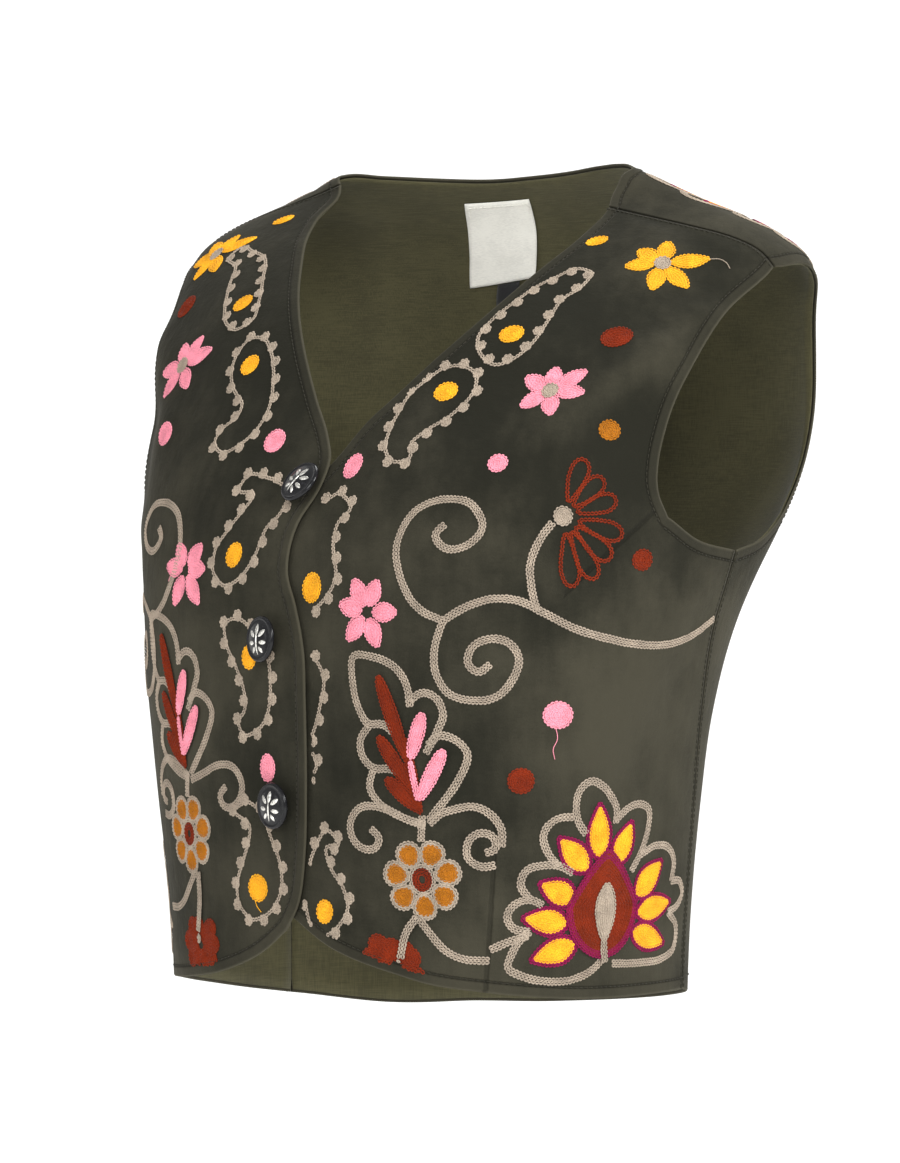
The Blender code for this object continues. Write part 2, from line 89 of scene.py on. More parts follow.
Level = namedtuple("Level", "height half_width centre front back front_square back_square")
LEVELS = (
    Level(-0.460, 0.138, -0.043, -0.155, 0.050, 2.35, 2.65),
    Level(-0.380, 0.141, -0.043, -0.157, 0.053, 2.40, 2.60),
    Level(-0.325, 0.147, -0.043, -0.159, 0.058, 2.50, 2.50),
    Level(-0.280, 0.154, -0.042, -0.160, 0.064, 2.50, 2.40),
    Level(-0.240, 0.162, -0.038, -0.159, 0.072, 2.55, 2.45),
    Level(-0.210, 0.169, -0.030, -0.156, 0.081, 2.60, 2.60),
    Level(-0.180, 0.176, -0.020, -0.149, 0.088, 2.60, 2.80),
    Level(-0.150, 0.182, -0.010, -0.136, 0.092, 2.65, 2.95),
    Level(-0.120, 0.187, -0.001, -0.120, 0.092, 2.50, 2.90),
    Level(-0.094, 0.190, 0.005, -0.105, 0.089, 2.45, 2.70),
    Level(-0.068, 0.189, 0.010, -0.084, 0.084, 2.40, 2.50),
    Level(-0.050, 0.185, 0.012, -0.064, 0.078, 2.45, 2.40),
    Level(-0.038, 0.177, 0.013, -0.049, 0.072, 2.50, 2.30),
    Level(-0.025, 0.156, 0.012, -0.031, 0.065, 2.40, 2.10),
    Level(-0.012, 0.122, 0.008, -0.017, 0.054, 2.20, 2.05),
    Level(0.000, 0.095, 0.005, -0.011, 0.042, 2.00, 2.00),
    Level(0.012, 0.068, 0.003, -0.005, 0.034, 2.00, 2.00),
)

# Soft folds: a ridge (or a trough, where rise is negative) from one place to another
Fold = namedtuple("Fold", "angle height end_angle end_height half_width rise")
FOLD_RADIUS = 0.150
FRONT_RADIUS = 0.118
FOLDS = (
    Fold(-21.0, -0.078, -40.0, -0.128, 0.013, 0.0035),
    Fold(-26.0, -0.097, -36.0, -0.122, 0.010, 0.0025),
    Fold(-30.0, -0.128, -27.0, -0.160, 0.016, -0.0040),
    Fold(-19.0, -0.034, -26.0, -0.056, 0.009, 0.0018),
    Fold(-15.5, -0.040, -23.0, -0.062, 0.009, -0.0018),
    Fold(-27.0, -0.205, -32.0, -0.232, 0.018, -0.0035),
    Fold(-2.0, -0.215, -16.0, -0.290, 0.020, 0.0025),
    Fold(-54.0, -0.376, -57.0, -0.400, 0.014, -0.0025),
    Fold(-158.0, -0.092, -143.0, -0.132, 0.013, 0.0030),
    Fold(-152.0, -0.132, -150.0, -0.165, 0.016, -0.0035),
    Fold(-150.0, -0.206, -147.0, -0.235, 0.018, -0.0030),
    Fold(-176.0, -0.220, -164.0, -0.290, 0.020, 0.0022),
    Fold(32.0, -0.150, 52.0, -0.215, 0.020, 0.0035),
    Fold(30.0, -0.215, 46.0, -0.280, 0.020, -0.0025),
    Fold(147.0, -0.155, 126.0, -0.225, 0.020, 0.0032),
    Fold(150.0, -0.225, 135.0, -0.285, 0.020, -0.0025),
    Fold(78.0, -0.300, 74.0, -0.400, 0.022, -0.0028),
    Fold(103.0, -0.310, 108.0, -0.405, 0.022, -0.0025),
)

# Outlines. The right side's tables are written as if seen in a mirror, angle for angle
Place = namedtuple("Place", "angle height")


def table(*pairs):
    """Places from pairs of an angle and a height."""
    return tuple(Place(*pair) for pair in pairs)


NECK_EDGE = {
    "left": table(
        (-91.6, -0.1600), (-88.5, -0.1500), (-85.5, -0.1390), (-78.5, -0.1210), (-69.0, -0.0970),
        (-51.5, -0.0610), (-35.5, -0.0380), (-17.5, -0.0180),
    ),
    "right": table(
        (-92.0, -0.1580), (-91.5, -0.1500), (-88.5, -0.1400), (-79.8, -0.1200), (-69.0, -0.0950),
        (-56.0, -0.0690), (-38.0, -0.0420), (-19.0, -0.0205), (-7.0, -0.0050),
    ),
}
FRONT_EDGE = {
    "left": table(
        (-90.5, -0.379), (-95.5, -0.362), (-97.5, -0.345), (-97.5, -0.300), (-97.0, -0.240),
        (-96.0, -0.200), (-94.0, -0.175), (-91.6, -0.160),
    ),
    "right": table(
        (-90.0, -0.387), (-94.0, -0.374), (-96.8, -0.346), (-97.5, -0.321), (-97.3, -0.270),
        (-96.6, -0.248), (-93.2, -0.224), (-89.2, -0.206), (-89.0, -0.183), (-91.8, -0.165),
        (-92.0, -0.158),
    ),
}
FRONT_HEM = {
    "left": table(
        (-90.5, -0.379), (-85.5, -0.385), (-77.5, -0.393), (-62.0, -0.404), (-51.5, -0.410),
        (-38.5, -0.414), (-21.0, -0.418), (0.0, -0.4195), (16.0, -0.4195),
    ),
    "right": table(
        (-90.0, -0.387), (-81.5, -0.399), (-69.5, -0.409), (-49.5, -0.417), (-30.0, -0.421),
        (-12.0, -0.428), (5.0, -0.4350), (16.0, -0.439),
    ),
}
SIDE_SEAM = {
    "left": table(
        (16.0, -0.4195), (15.5, -0.3400), (11.0, -0.2720), (6.5, -0.2250), (4.0, -0.1960),
    ),
    "right": table(
        (16.0, -0.4390), (15.5, -0.3450), (11.0, -0.2740), (6.5, -0.2250), (4.0, -0.1960),
    ),
}
ARMHOLE_BOTTOM_FRONT = table(
    (-16.5, -0.1790), (-8.0, -0.1900), (4.0, -0.1960),
)
ARMHOLE_BOTTOM_BACK = table(
    (4.0, -0.1960), (12.0, -0.1900), (18.0, -0.1770),
)
SHOULDER_SEAM = {
    "left": table(
        (-17.5, -0.0180), (-15.0, -0.0230), (-12.5, -0.0275), (-10.2, -0.0320), (-8.6, -0.0375),
        (-7.2, -0.0480),
    ),
    "right": table(
        (-7.0, -0.0050), (-6.8, -0.0120), (-6.2, -0.0240), (-5.6, -0.0330), (-5.0, -0.0400),
        (-4.4, -0.0480),
    ),
}
ARMHOLE_FRONT = table(
    (-16.5, -0.1790), (-20.0, -0.1680), (-22.5, -0.1520), (-23.5, -0.1330), (-22.5, -0.1070),
    (-17.0, -0.0730),
)
ARMHOLE_BACK = table(
    (18.0, -0.1770), (20.5, -0.1550), (20.0, -0.1250), (17.8, -0.0950), (13.8, -0.0700),
    (8.5, -0.0540), (2.0, -0.0455),
)
BACK_NECK = table(
    (-17.5, -0.0180), (-13.5, -0.0130), (-9.2, -0.0070), (-5.0, -0.0005), (4.0, 0.0050),
    (15.0, 0.0065), (25.0, 0.0060), (45.0, 0.0038), (88.0, 0.0012), (133.0, -0.0003),
    (153.0, 0.0003), (166.5, 0.0010), (178.0, 0.0012), (183.5, -0.0015), (187.0, -0.0050),
)
BACK_HEM = table(
    (16.0, -0.4195), (50.0, -0.432), (86.0, -0.439), (116.0, -0.442), (143.0, -0.445),
    (164.0, -0.439),
)
UPPER_BLOCK_START = -0.186

# How far past the right front's edge, in metres, the left front lies at its full depth
# under it, and how far past it has risen to the surface again
TUCK_FULL = 0.004
TUCK_FADE = 0.034


def smooth(positions, values, wanted):
    """A smooth curve through (position, value) pairs, read at the wanted positions."""
    positions = np.asarray(positions, float)
    values = np.asarray(values, float)
    steps = np.diff(positions)
    slopes = np.diff(values) / steps
    tangents = np.empty_like(values)
    tangents[0] = slopes[0]
    tangents[-1] = slopes[-1]
    before, after = steps[:-1], steps[1:]
    tangents[1:-1] = (slopes[:-1] * after + slopes[1:] * before) / (before + after)
    wanted = np.clip(wanted, positions[0], positions[-1])
    span = np.clip(np.searchsorted(positions, wanted) - 1, 0, len(steps) - 1)
    t = (wanted - positions[span]) / steps[span]
    length = steps[span]
    start = (2 * t**3 - 3 * t**2 + 1) * values[span]
    start_pull = (t**3 - 2 * t**2 + t) * length * tangents[span]
    end = (3 * t**2 - 2 * t**3) * values[span + 1]
    end_pull = (t**3 - t**2) * length * tangents[span + 1]
    return start + start_pull + end + end_pull


def ease(low, high, value):
    """0 below low, 1 above high, smooth between."""
    t = np.clip((value - low) / (high - low), 0.0, 1.0)
    return t * t * (3 - 2 * t)


def section(height):
    """The level section's sizes at a height."""
    heights = [level.height for level in LEVELS]
    return [smooth(heights, [level[k] for level in LEVELS], height) for k in range(1, 7)]


def turned(points):
    """Points turned about the Z axis by the hips' turn at their height."""
    amount = 1 - ease(TURN_BOTTOM, TURN_TOP, points[..., 2])
    turn = np.radians(HIP_TURN) * amount
    x = points[..., 0] * np.cos(turn) - points[..., 1] * np.sin(turn)
    y = points[..., 0] * np.sin(turn) + points[..., 1] * np.cos(turn)
    return np.stack([x, y, points[..., 2]], axis=-1)


def dropped(points):
    """Points with the left shoulder lowered and the right one raised."""
    drop = SHOULDER_DROP * points[..., 0] * ease(DROP_START, DROP_FULL, points[..., 2])
    return points - drop[..., None] * np.array([0.0, 0.0, 1.0])


def form(angle, height):
    """Points of the plain body form."""
    half_width, centre, front, back, front_square, back_square = section(height)
    cosine, sine = np.cos(np.radians(angle)), np.sin(np.radians(angle))
    square = np.where(sine < 0, front_square, back_square)
    depth = np.where(sine < 0, centre - front, back - centre)
    total = np.abs(cosine / half_width) ** square + np.abs(sine / depth) ** square
    reach = total ** (-1 / square)
    plain = np.stack([reach * cosine, centre + reach * sine, height + 0 * angle], axis=-1)
    return dropped(turned(plain))


def normal(angle, height):
    """Unit outward normals of the plain body form."""
    step_angle, step_height = 0.5, 0.0005
    across = form(angle + step_angle, height) - form(angle - step_angle, height)
    up = form(angle, height + step_height) - form(angle, height - step_height)
    product = np.cross(across, up)
    return product / np.linalg.norm(product, axis=-1, keepdims=True)


def fold_rise(angle, height):
    """How far the soft folds lift the cloth at a place."""
    total = np.zeros_like(angle)
    for fold in FOLDS:
        start = np.array([math.radians(fold.angle) * FOLD_RADIUS, fold.height])
        end = np.array([math.radians(fold.end_angle) * FOLD_RADIUS, fold.end_height])
        wrapped = (angle - fold.angle + 180.0) % 360.0 - 180.0 + fold.angle
        place = np.stack([np.radians(wrapped) * FOLD_RADIUS, height], axis=-1)
        run = end - start
        along = np.clip((place - start) @ run / (run @ run), 0.0, 1.0)
        distance = np.linalg.norm(place - start - along[..., None] * run, axis=-1)
        total = total + fold.rise * np.exp(-((distance / fold.half_width) ** 2))
    return total


def cloth(places, out):
    """Points at places (angle, height), moved out from the folded form along its normal."""
    angle, height = places[..., 0], places[..., 1]
    rise = fold_rise(angle, height) + out
    return form(angle, height) + normal(angle, height) * rise[..., None]


def surface(places):
    """Points of the folded form itself."""
    return cloth(places, np.zeros(len(places)))


def mirrored(places):
    """Places on the wearer's right for places written for the left."""
    return np.stack([180.0 - places[..., 0], places[..., 1]], axis=-1)


def length_plane(places):
    """Places as lengths, near enough for spacing."""
    return np.stack([np.radians(places[..., 0]) * FOLD_RADIUS, places[..., 1]], axis=-1)


def fine_curve(rows):
    """A smooth curve through table rows, as many close places."""
    rows = np.array(rows, float)
    chords = np.linalg.norm(np.diff(length_plane(rows), axis=0), axis=1)
    marks = np.concatenate([[0.0], np.cumsum(chords)])
    fine = np.linspace(0.0, marks[-1], CURVE_SAMPLES + 1)
    return np.stack([smooth(marks, rows[:, k], fine) for k in range(2)], axis=1)


def evenly(fine, shares):
    """Places at shares (0 to 1) of a fine curve's length on the cloth."""
    steps = np.linalg.norm(np.diff(surface(fine), axis=0), axis=1)
    run = np.concatenate([[0.0], np.cumsum(steps)])
    wanted = np.asarray(shares) * run[-1]
    return np.stack([np.interp(wanted, run, fine[:, k]) for k in range(2)], axis=1)


def curve(rows, shares):
    return evenly(fine_curve(rows), shares)


def spacing(length, step, close_start=False, close_end=False):
    """Shares of a length, a step apart, with close rows beside an edge at either end."""
    start = np.array(EDGE_ROWS if close_start else (0.0,))
    end = length - np.array(EDGE_ROWS if close_end else (0.0,))[::-1]
    count = max(1, math.ceil((end[0] - start[-1]) / step))
    middle = np.linspace(start[-1], end[0], count + 1)[1:-1]
    return np.concatenate([start, middle, end]) / length


def joined(first, second):
    """Two runs of rows that share an end, as one."""
    return np.concatenate([first, second[1:]])


def patch(bottom, top, left, right, across, up):
    """A grid of places filled between four boundary curves, two and two facing."""
    u, v = across[None, :, None], up[:, None, None]
    between_rows = (1 - v) * bottom[None] + v * top[None]
    between_columns = (1 - u) * left[:, None] + u * right[:, None]
    low = (1 - u) * bottom[0] + u * bottom[-1]
    high = (1 - u) * top[0] + u * top[-1]
    return between_rows + between_columns - ((1 - v) * low + v * high)


class Sheet:
    """A cloth sheet: places, joined by four-sided cells."""

    def __init__(self):
        self.places = []
        self.cells = []
        self.index = {}

    @staticmethod
    def key(place):
        return round(float(place[0]), 4), round(float(place[1]), 6)

    def corner(self, place):
        key = self.key(place)
        if key not in self.index:
            self.index[key] = len(self.places)
            self.places.append([float(place[0]), float(place[1])])
        return self.index[key]

    def add(self, grid):
        numbers = [[self.corner(place) for place in row] for row in grid]
        for low, high in zip(numbers, numbers[1:]):
            for k in range(len(low) - 1):
                cell = (low[k], low[k + 1], high[k + 1], high[k])
                if len(set(cell)) == 4:
                    self.cells.append(cell)

    def pull_in(self, edges, amount):
        """Move the places of edge curves into the sheet by an amount."""
        on_edge = {self.index[self.key(place)] for edge in edges for place in edge}
        mates = {number: set() for number in on_edge}
        for cell in self.cells:
            for number in on_edge.intersection(cell):
                mates[number].update(cell)
        places = np.array(self.places)
        flat = surface(places)
        for number, near in mates.items():
            inner = sorted(near - on_edge)
            if inner:
                centre = places[inner].mean(axis=0)
                distance = np.linalg.norm(flat[inner].mean(axis=0) - flat[number])
                shift = amount / distance * (centre - places[number])
                self.places[number] = (places[number] + shift).tolist()

    def mirror(self):
        self.places = mirrored(np.array(self.places)).tolist()
        self.cells = [cell[::-1] for cell in self.cells]

    def border(self):
        """Edges that bound one cell only, each in its cell's order."""
        uses = {}
        for cell in self.cells:
            for a, b in zip(cell, cell[1:] + cell[:1]):
                uses[(a, b)] = True
        return [(a, b) for a, b in uses if (b, a) not in uses]


# Share of the hem and of the back's sides that lies below each block, as in the frame
FRONT_SHARE = 10 / 15
UNDERARM_SHARE = 5 / 28
BACK_ARMHOLE_SHARE = 9 / 19
GUIDE_START = 8 / 19
FIRST_BACK_COLUMN = 1 / 18

# Rough lengths, for spacing the rows
FRONT_LENGTH = 0.150
UNDERARM_LENGTH = 0.075
LOWER_LENGTH = 0.215
UPPER_LENGTH = 0.200
BACK_LENGTH = 0.330
BACK_ARMHOLE_LENGTH = 0.150
SHOULDER_LENGTH = 0.100


class Rows:
    """How a panel's rows and columns are spaced, as shares of each block's sides."""

    def __init__(self, step, close):
        self.front = spacing(FRONT_LENGTH, step, close, close)
        self.underarm = spacing(UNDERARM_LENGTH, step, False, close)
        self.lower = spacing(LOWER_LENGTH, step, close, close)
        self.upper = spacing(UPPER_LENGTH, step, False, close)
        self.back = spacing(BACK_LENGTH, step, close, close)
        self.back_armhole = spacing(BACK_ARMHOLE_LENGTH, step)
        self.shoulder = spacing(SHOULDER_LENGTH, step, False, close)


def front_edges(side, rows):
    """The outline curves of one front, in places written for the left."""
    edge = fine_curve(FRONT_EDGE[side][:-1] + NECK_EDGE[side])
    start = int(np.argmin(np.abs(edge[:, 1] - UPPER_BLOCK_START)))
    hem_shares = joined(FRONT_SHARE * rows.front, FRONT_SHARE + (1 - FRONT_SHARE) * rows.underarm)
    return {
        "lower_edge": evenly(edge[: start + 1], rows.lower),
        "upper_edge": evenly(edge[start:], rows.upper),
        "hem": curve(FRONT_HEM[side], hem_shares),
        "side": curve(SIDE_SEAM[side], rows.lower),
        "underarm": curve(ARMHOLE_BOTTOM_FRONT, rows.underarm),
        "armhole": curve(ARMHOLE_FRONT + (SHOULDER_SEAM[side][-1],), rows.upper),
        "shoulder": curve(SHOULDER_SEAM[side], rows.front),
    }, hem_shares


def front_sheet(side, rows):
    """A front's sheet, its turned edges and its seams, in places written for the left."""
    edges, hem_shares = front_edges(side, rows)
    start, end = edges["upper_edge"][0], edges["underarm"][0]
    chest_row = start + rows.front[:, None] * (end - start)
    sheet = Sheet()
    lower_top = joined(chest_row, edges["underarm"])
    lower_sides = edges["lower_edge"], edges["side"]
    sheet.add(patch(edges["hem"], lower_top, *lower_sides, hem_shares, rows.lower))
    upper_sides = edges["upper_edge"], edges["armhole"]
    sheet.add(patch(chest_row, edges["shoulder"], *upper_sides, rows.front, rows.upper))
    names = ("hem", "lower_edge", "upper_edge", "armhole", "underarm")
    turned_edges = [edges[name] for name in names]
    return sheet, turned_edges, [edges["side"], edges["shoulder"]]


def back_side(side, rows):
    """One side of the back's upper block, and the guide that spaces its rows."""
    seam = SHOULDER_SEAM[side]
    armhole = curve(ARMHOLE_BACK + (seam[-1],), rows.back_armhole)
    shoulder = curve(seam, 1 - rows.shoulder)
    whole = joined(armhole, shoulder)
    up = back_up(rows)
    guide = whole.copy()
    late = up > GUIDE_START
    base = np.interp(GUIDE_START, up, whole[:, 1])
    share = (up[late] - GUIDE_START) / (1 - GUIDE_START)
    guide[late, 1] = base + share * (whole[-1, 1] - base)
    return whole, guide, armhole, shoulder


def back_up(rows):
    rest = 1 - BACK_ARMHOLE_SHARE
    return joined(BACK_ARMHOLE_SHARE * rows.back_armhole, BACK_ARMHOLE_SHARE + rest * rows.shoulder)


def back_sheet(rows):
    """The back's sheet, its turned edges and its seams."""
    left, left_guide, left_armhole, left_shoulder = back_side("left", rows)
    parts = [mirrored(part) for part in back_side("right", rows)]
    right, right_guide, right_armhole, right_shoulder = parts
    left_seam = curve(SIDE_SEAM["left"], rows.lower)
    right_seam = mirrored(curve(SIDE_SEAM["right"], rows.lower))
    underarm = 1 - rows.underarm[::-1]
    left_underarm = curve(ARMHOLE_BOTTOM_BACK, underarm)
    right_underarm = mirrored(left_underarm)[::-1]
    start, end = left_underarm[-1], right_underarm[0]
    shoulder_row = start + rows.back[:, None] * (end - start)
    middle = UNDERARM_SHARE + (1 - 2 * UNDERARM_SHARE) * rows.back
    last = 1 - UNDERARM_SHARE * underarm[::-1]
    across = joined(joined(UNDERARM_SHARE * underarm, middle), last)
    lower_top = joined(joined(left_underarm, shoulder_row), right_underarm)
    hem = curve(BACK_HEM, across)
    sheet = Sheet()
    sheet.add(patch(hem, lower_top, left_seam, right_seam, across, rows.lower))
    neck = curve(BACK_NECK, rows.back)
    upper = patch(shoulder_row, neck, left_guide, right_guide, rows.back, back_up(rows))
    for own, guide, inward in ((left, left_guide, rows.back), (right, right_guide, 1 - rows.back)):
        fade = np.clip(1 - inward / FIRST_BACK_COLUMN, 0, 1)
        upper += (own - guide)[:, None] * fade[None, :, None]
    sheet.add(upper)
    turned_edges = [hem, neck, left_armhole, left_underarm, right_armhole, right_underarm]
    return sheet, turned_edges, [left_seam, right_seam, left_shoulder, right_shoulder]


def covered_reach(places):
    """How far places on the left front lie beyond the right front's edge."""
    rows = FRONT_EDGE["right"][:-1] + NECK_EDGE["right"][:-2]
    heights = [row.height for row in rows]
    cover = -180.0 - smooth(heights, [row.angle for row in rows], places[..., 1])
    return np.radians(places[..., 0] - cover) * FRONT_RADIUS


def tuck(places):
    """How far the left front lies under the form, where the right front covers it."""
    reach = covered_reach(places)
    return (FRONT_WALL + OVERLAP_GAP) * (1 - ease(TUCK_FULL, TUCK_FADE, reach))


def face_of(panel, places):
    """How far a panel's outer face lies from the form."""
    if panel == "front_left":
        return -tuck(places)
    return np.zeros(places.shape[:-1])


def shortest(points, lines):
    """The distance from each point to the nearest point of some polylines."""
    marks = np.concatenate(lines)
    best = np.full(len(points), 1.0)
    for start in range(0, len(marks), 64):
        apart = points[:, None] - marks[None, start : start + 64]
        best = np.minimum(best, np.linalg.norm(apart, axis=2).min(axis=1))
    return best


def lay(name, vertices, faces, finishes, finish_of=None):
    """A smooth mesh piece in the row frame."""
    mesh = bpy.data.meshes.new(name)
    mesh.from_pydata(np.asarray(vertices).tolist(), [], faces)
    for finish in finishes:
        mesh.materials.append(finish)
    if finish_of is not None:
        mesh.polygons.foreach_set("material_index", finish_of)
    mesh.polygons.foreach_set("use_smooth", [True] * len(mesh.polygons))
    mesh.update()
    piece = bpy.data.objects.new(name, mesh)
    bpy.context.scene.collection.objects.link(piece)
    return piece


def seat(piece, slot, *nodes):
    """The piece rides on the body and stands for nodes, whose imported parts are hidden; the slot
    is not used.
    """
    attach(piece, BODY)
    if nodes:
        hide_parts(*nodes)
    return piece


def shell(name, sheet, outer, thickness, finish):
    """A closed cloth shell: a sheet's outer face, rounded edges and its inner face."""
    places = np.array(sheet.places)
    border = sheet.border()
    edge = np.zeros(len(places))
    edge[[a for a, b in border]] = EDGE_ROUND * thickness
    faces_out = cloth(places, outer - edge)
    faces_in = cloth(places, outer - thickness + edge)
    count = len(places)
    cells = list(sheet.cells)
    cells += [tuple(k + count for k in cell[::-1]) for cell in sheet.cells]
    cells += [(b, a, a + count, b + count) for a, b in border]
    return lay(name, np.concatenate([faces_out, faces_in]), cells, [finish])


def mark(piece, name, values):
    """A number kept at each point of both faces of a shell, for its material."""
    field = piece.data.attributes.new(name, "FLOAT", "POINT")
    field.data.foreach_set("value", np.tile(values, 2).astype(np.float32))


class Wire:
    """A shader node's output that can be used in arithmetic."""

    def __init__(self, finish, socket):
        self.finish = finish
        self.socket = socket

    def maths(self, operation, *values):
        return self.finish.node("ShaderNodeMath", {"operation": operation}, dict(enumerate(values)))

    def __add__(self, other):
        return self.maths("ADD", self, other)

    def __sub__(self, other):
        return self.maths("SUBTRACT", self, other)

    def __rsub__(self, other):
        return self.maths("SUBTRACT", other, self)

    def __mul__(self, other):
        return self.maths("MULTIPLY", self, other)

    def __truediv__(self, other):
        return self.maths("DIVIDE", self, other)

    def __abs__(self):
        return self.maths("ABSOLUTE", self)

    __radd__ = __add__
    __rmul__ = __mul__

    def ramp(self, low, high, start=0.0, end=1.0):
        """From start at low to end at high, smooth and held outside."""
        values = {"Value": self, "From Min": low, "From Max": high, "To Min": start, "To Max": end}
        settings = {"interpolation_type": "SMOOTHSTEP"}
        return self.finish.node("ShaderNodeMapRange", settings, values)


class Finish:
    """A material, made node by node."""

    def __init__(self, name, **constants):
        self.material = bpy.data.materials.new(name)
        self.material.use_nodes = True
        self.tree = self.material.node_tree
        self.shader = self.tree.nodes["Principled BSDF"]
        for socket, value in constants.items():
            self.shader.inputs[socket.replace("_", " ")].default_value = value
        self.place = self.node("ShaderNodeTexCoord", output="Object")

    def feed(self, socket, value):
        if isinstance(value, Wire):
            self.tree.links.new(value.socket, socket)
        elif socket.type == "RGBA" and len(value) == 3:
            socket.default_value = (*value, 1.0)
        else:
            socket.default_value = value

    def node(self, kind, settings=None, values=None, output=0):
        """Any node: its settings first, then values or links for its sockets."""
        made = self.tree.nodes.new(kind)
        for name, value in (settings or {}).items():
            setattr(made, name, value)
        for name, value in (values or {}).items():
            self.feed(made.inputs[name], value)
        return Wire(self, made.outputs[output])

    def noise(self, scale, detail=2.0, stretch=(1.0, 1.0, 1.0), roughness=0.5):
        spread = {"operation": "MULTIPLY"}
        at = self.node("ShaderNodeVectorMath", spread, {0: self.place, 1: stretch})
        values = {"Vector": at, "Scale": scale, "Detail": detail, "Roughness": roughness}
        return self.node("ShaderNodeTexNoise", {}, values)

    def attribute(self, name):
        return self.node("ShaderNodeAttribute", {"attribute_name": name}, output="Fac")

    def mix(self, share, first, second):
        """A colour between two colours."""
        values = {0: share, 6: first, 7: second}
        return self.node("ShaderNodeMix", {"data_type": "RGBA"}, values, 2)

    def bump(self, height, strength=1.0):
        """Height in metres, as bump on the shader's normal."""
        values = {"Height": height, "Strength": strength, "Distance": 1.0}
        self.set(Normal=self.node("ShaderNodeBump", {}, values))

    def set(self, **sockets):
        for name, value in sockets.items():
            self.feed(self.shader.inputs[name.replace("_", " ")], value)
        return self


def shaded(colour, amount):
    """A colour made lighter or darker."""
    return tuple(min(1.0, part * amount) for part in colour)


def colour_setting(name, description, default):
    return bpy.props.FloatVectorProperty(
        name=name,
        description=description,
        subtype="COLOR",
        size=3,
        min=0.0,
        max=1.0,
        default=default,
    )


def length_setting(name, description, default):
    return bpy.props.FloatProperty(
        name=name, description=description, unit="LENGTH", precision=4, default=default
    )


class WaistcoatColours(bpy.types.PropertyGroup):
    """The colours of the cloth, the threads and the trim."""

    velvet: colour_setting("Velvet", "Velvet in the shade of its pile", (0.0130, 0.0127, 0.0085))
    velvet_brushed: colour_setting(
        "Brushed velvet", "Velvet where its pile lies flat", (0.0430, 0.0395, 0.0270)
    )
    lining: colour_setting("Lining", "The cotton lining", (0.066, 0.060, 0.027))
    label: colour_setting("Label", "The neck label", (0.97, 0.95, 0.87))
    tab: colour_setting("Size tab", "The tab under the label", (0.012, 0.012, 0.013))
    button: colour_setting("Button", "The polished buttons", (0.008, 0.008, 0.009))
    silver: colour_setting("Silver", "The raised sprig on the buttons", (0.88, 0.86, 0.80))
    seam_thread: colour_setting("Seam thread", "The thread of the seams", (0.030, 0.028, 0.019))
    grey: colour_setting("Grey thread", "Outlines, scrolls and beads", (0.385, 0.315, 0.245))
    yellow: colour_setting("Yellow thread", "Stars, dots and petals", (0.90, 0.42, 0.018))
    mustard: colour_setting("Mustard thread", "The round flower", (0.39, 0.135, 0.006))
    pink: colour_setting("Pink thread", "Stars, dots and pods", (0.86, 0.30, 0.38))
    rust: colour_setting("Rust thread", "Fans, pods and dots", (0.190, 0.018, 0.0015))
    magenta: colour_setting("Magenta thread", "The lotus edges", (0.230, 0.004, 0.060))


class WaistcoatSizes(bpy.types.PropertyGroup):
    """The sizes of the grid, the stitches and the view."""

    cloth_step: length_setting("Cloth step", "Distance between the points of the velvet", 0.0034)
    lining_step: length_setting("Lining step", "Distance between the points of the lining", 0.0070)
    lining_inset: length_setting(
        "Lining inset", "How far the lining lies inside the turned edges", 0.0016
    )
    stitch_inset: length_setting(
        "Stitch inset", "Distance of the topstitching from the edges", 0.0058
    )
    stitch_pitch: length_setting("Stitch pitch", "Distance from topstitch to topstitch", 0.0030)
    stitch_width: length_setting("Stitch width", "Width of the seam thread", 0.0006)
    chain_pitch: length_setting("Chain pitch", "Length of one chain stitch", 0.0020)
    chain_width: length_setting("Chain width", "Width of one chain stitch", 0.0022)
    chain_height: length_setting("Chain height", "Height of one chain stitch", 0.0009)
    camera_distance: length_setting("Camera distance", "From the camera to the waistcoat", 2.600)
    floor_height: length_setting("Floor height", "The floor under the hanging waistcoat", -0.620)


def colours():
    return bpy.context.scene.waistcoat_colours


def sizes():
    return bpy.context.scene.waistcoat_sizes


# The velvet's noises: scale, detail, stretch along X, Y and Z, and roughness
VELVET_NOISES = (
    (9.0, 3.0, (1.0, 1.0, 0.8), 0.55),
    (30.0, 4.0, (1.0, 1.0, 1.0), 0.6),
    (1.0, 3.0, (170.0, 170.0, 52.0)),
    (1.0, 2.0, (160.0, 160.0, 900.0)),
    (1300.0, 2.0),
)

# Distances over which the velvet's marks fade, from its edges and seams; most are painted shade or
# a painted highlight
GROOVE_HALF_WIDTH = 0.0011
FOLDED_FADE = (0.0040, 0.0066)
SEAM_LINE_WIDTH = 0.0013
CREASE_FADE = (0.0003, 0.0017)
EDGE_HIGHLIGHT_WIDTH = 0.0016

# Painted light on the pile: paler low down than high up, and a painted highlight on the rises of
# its folds
PAINTED_LIGHT_BY_HEIGHT = (-0.28, -0.10, 0.035, -0.085)
PAINTED_HIGHLIGHT_BY_RISE = 22.0
BRUSHED_FROM = 0.37
BRUSHED_TO = 0.65


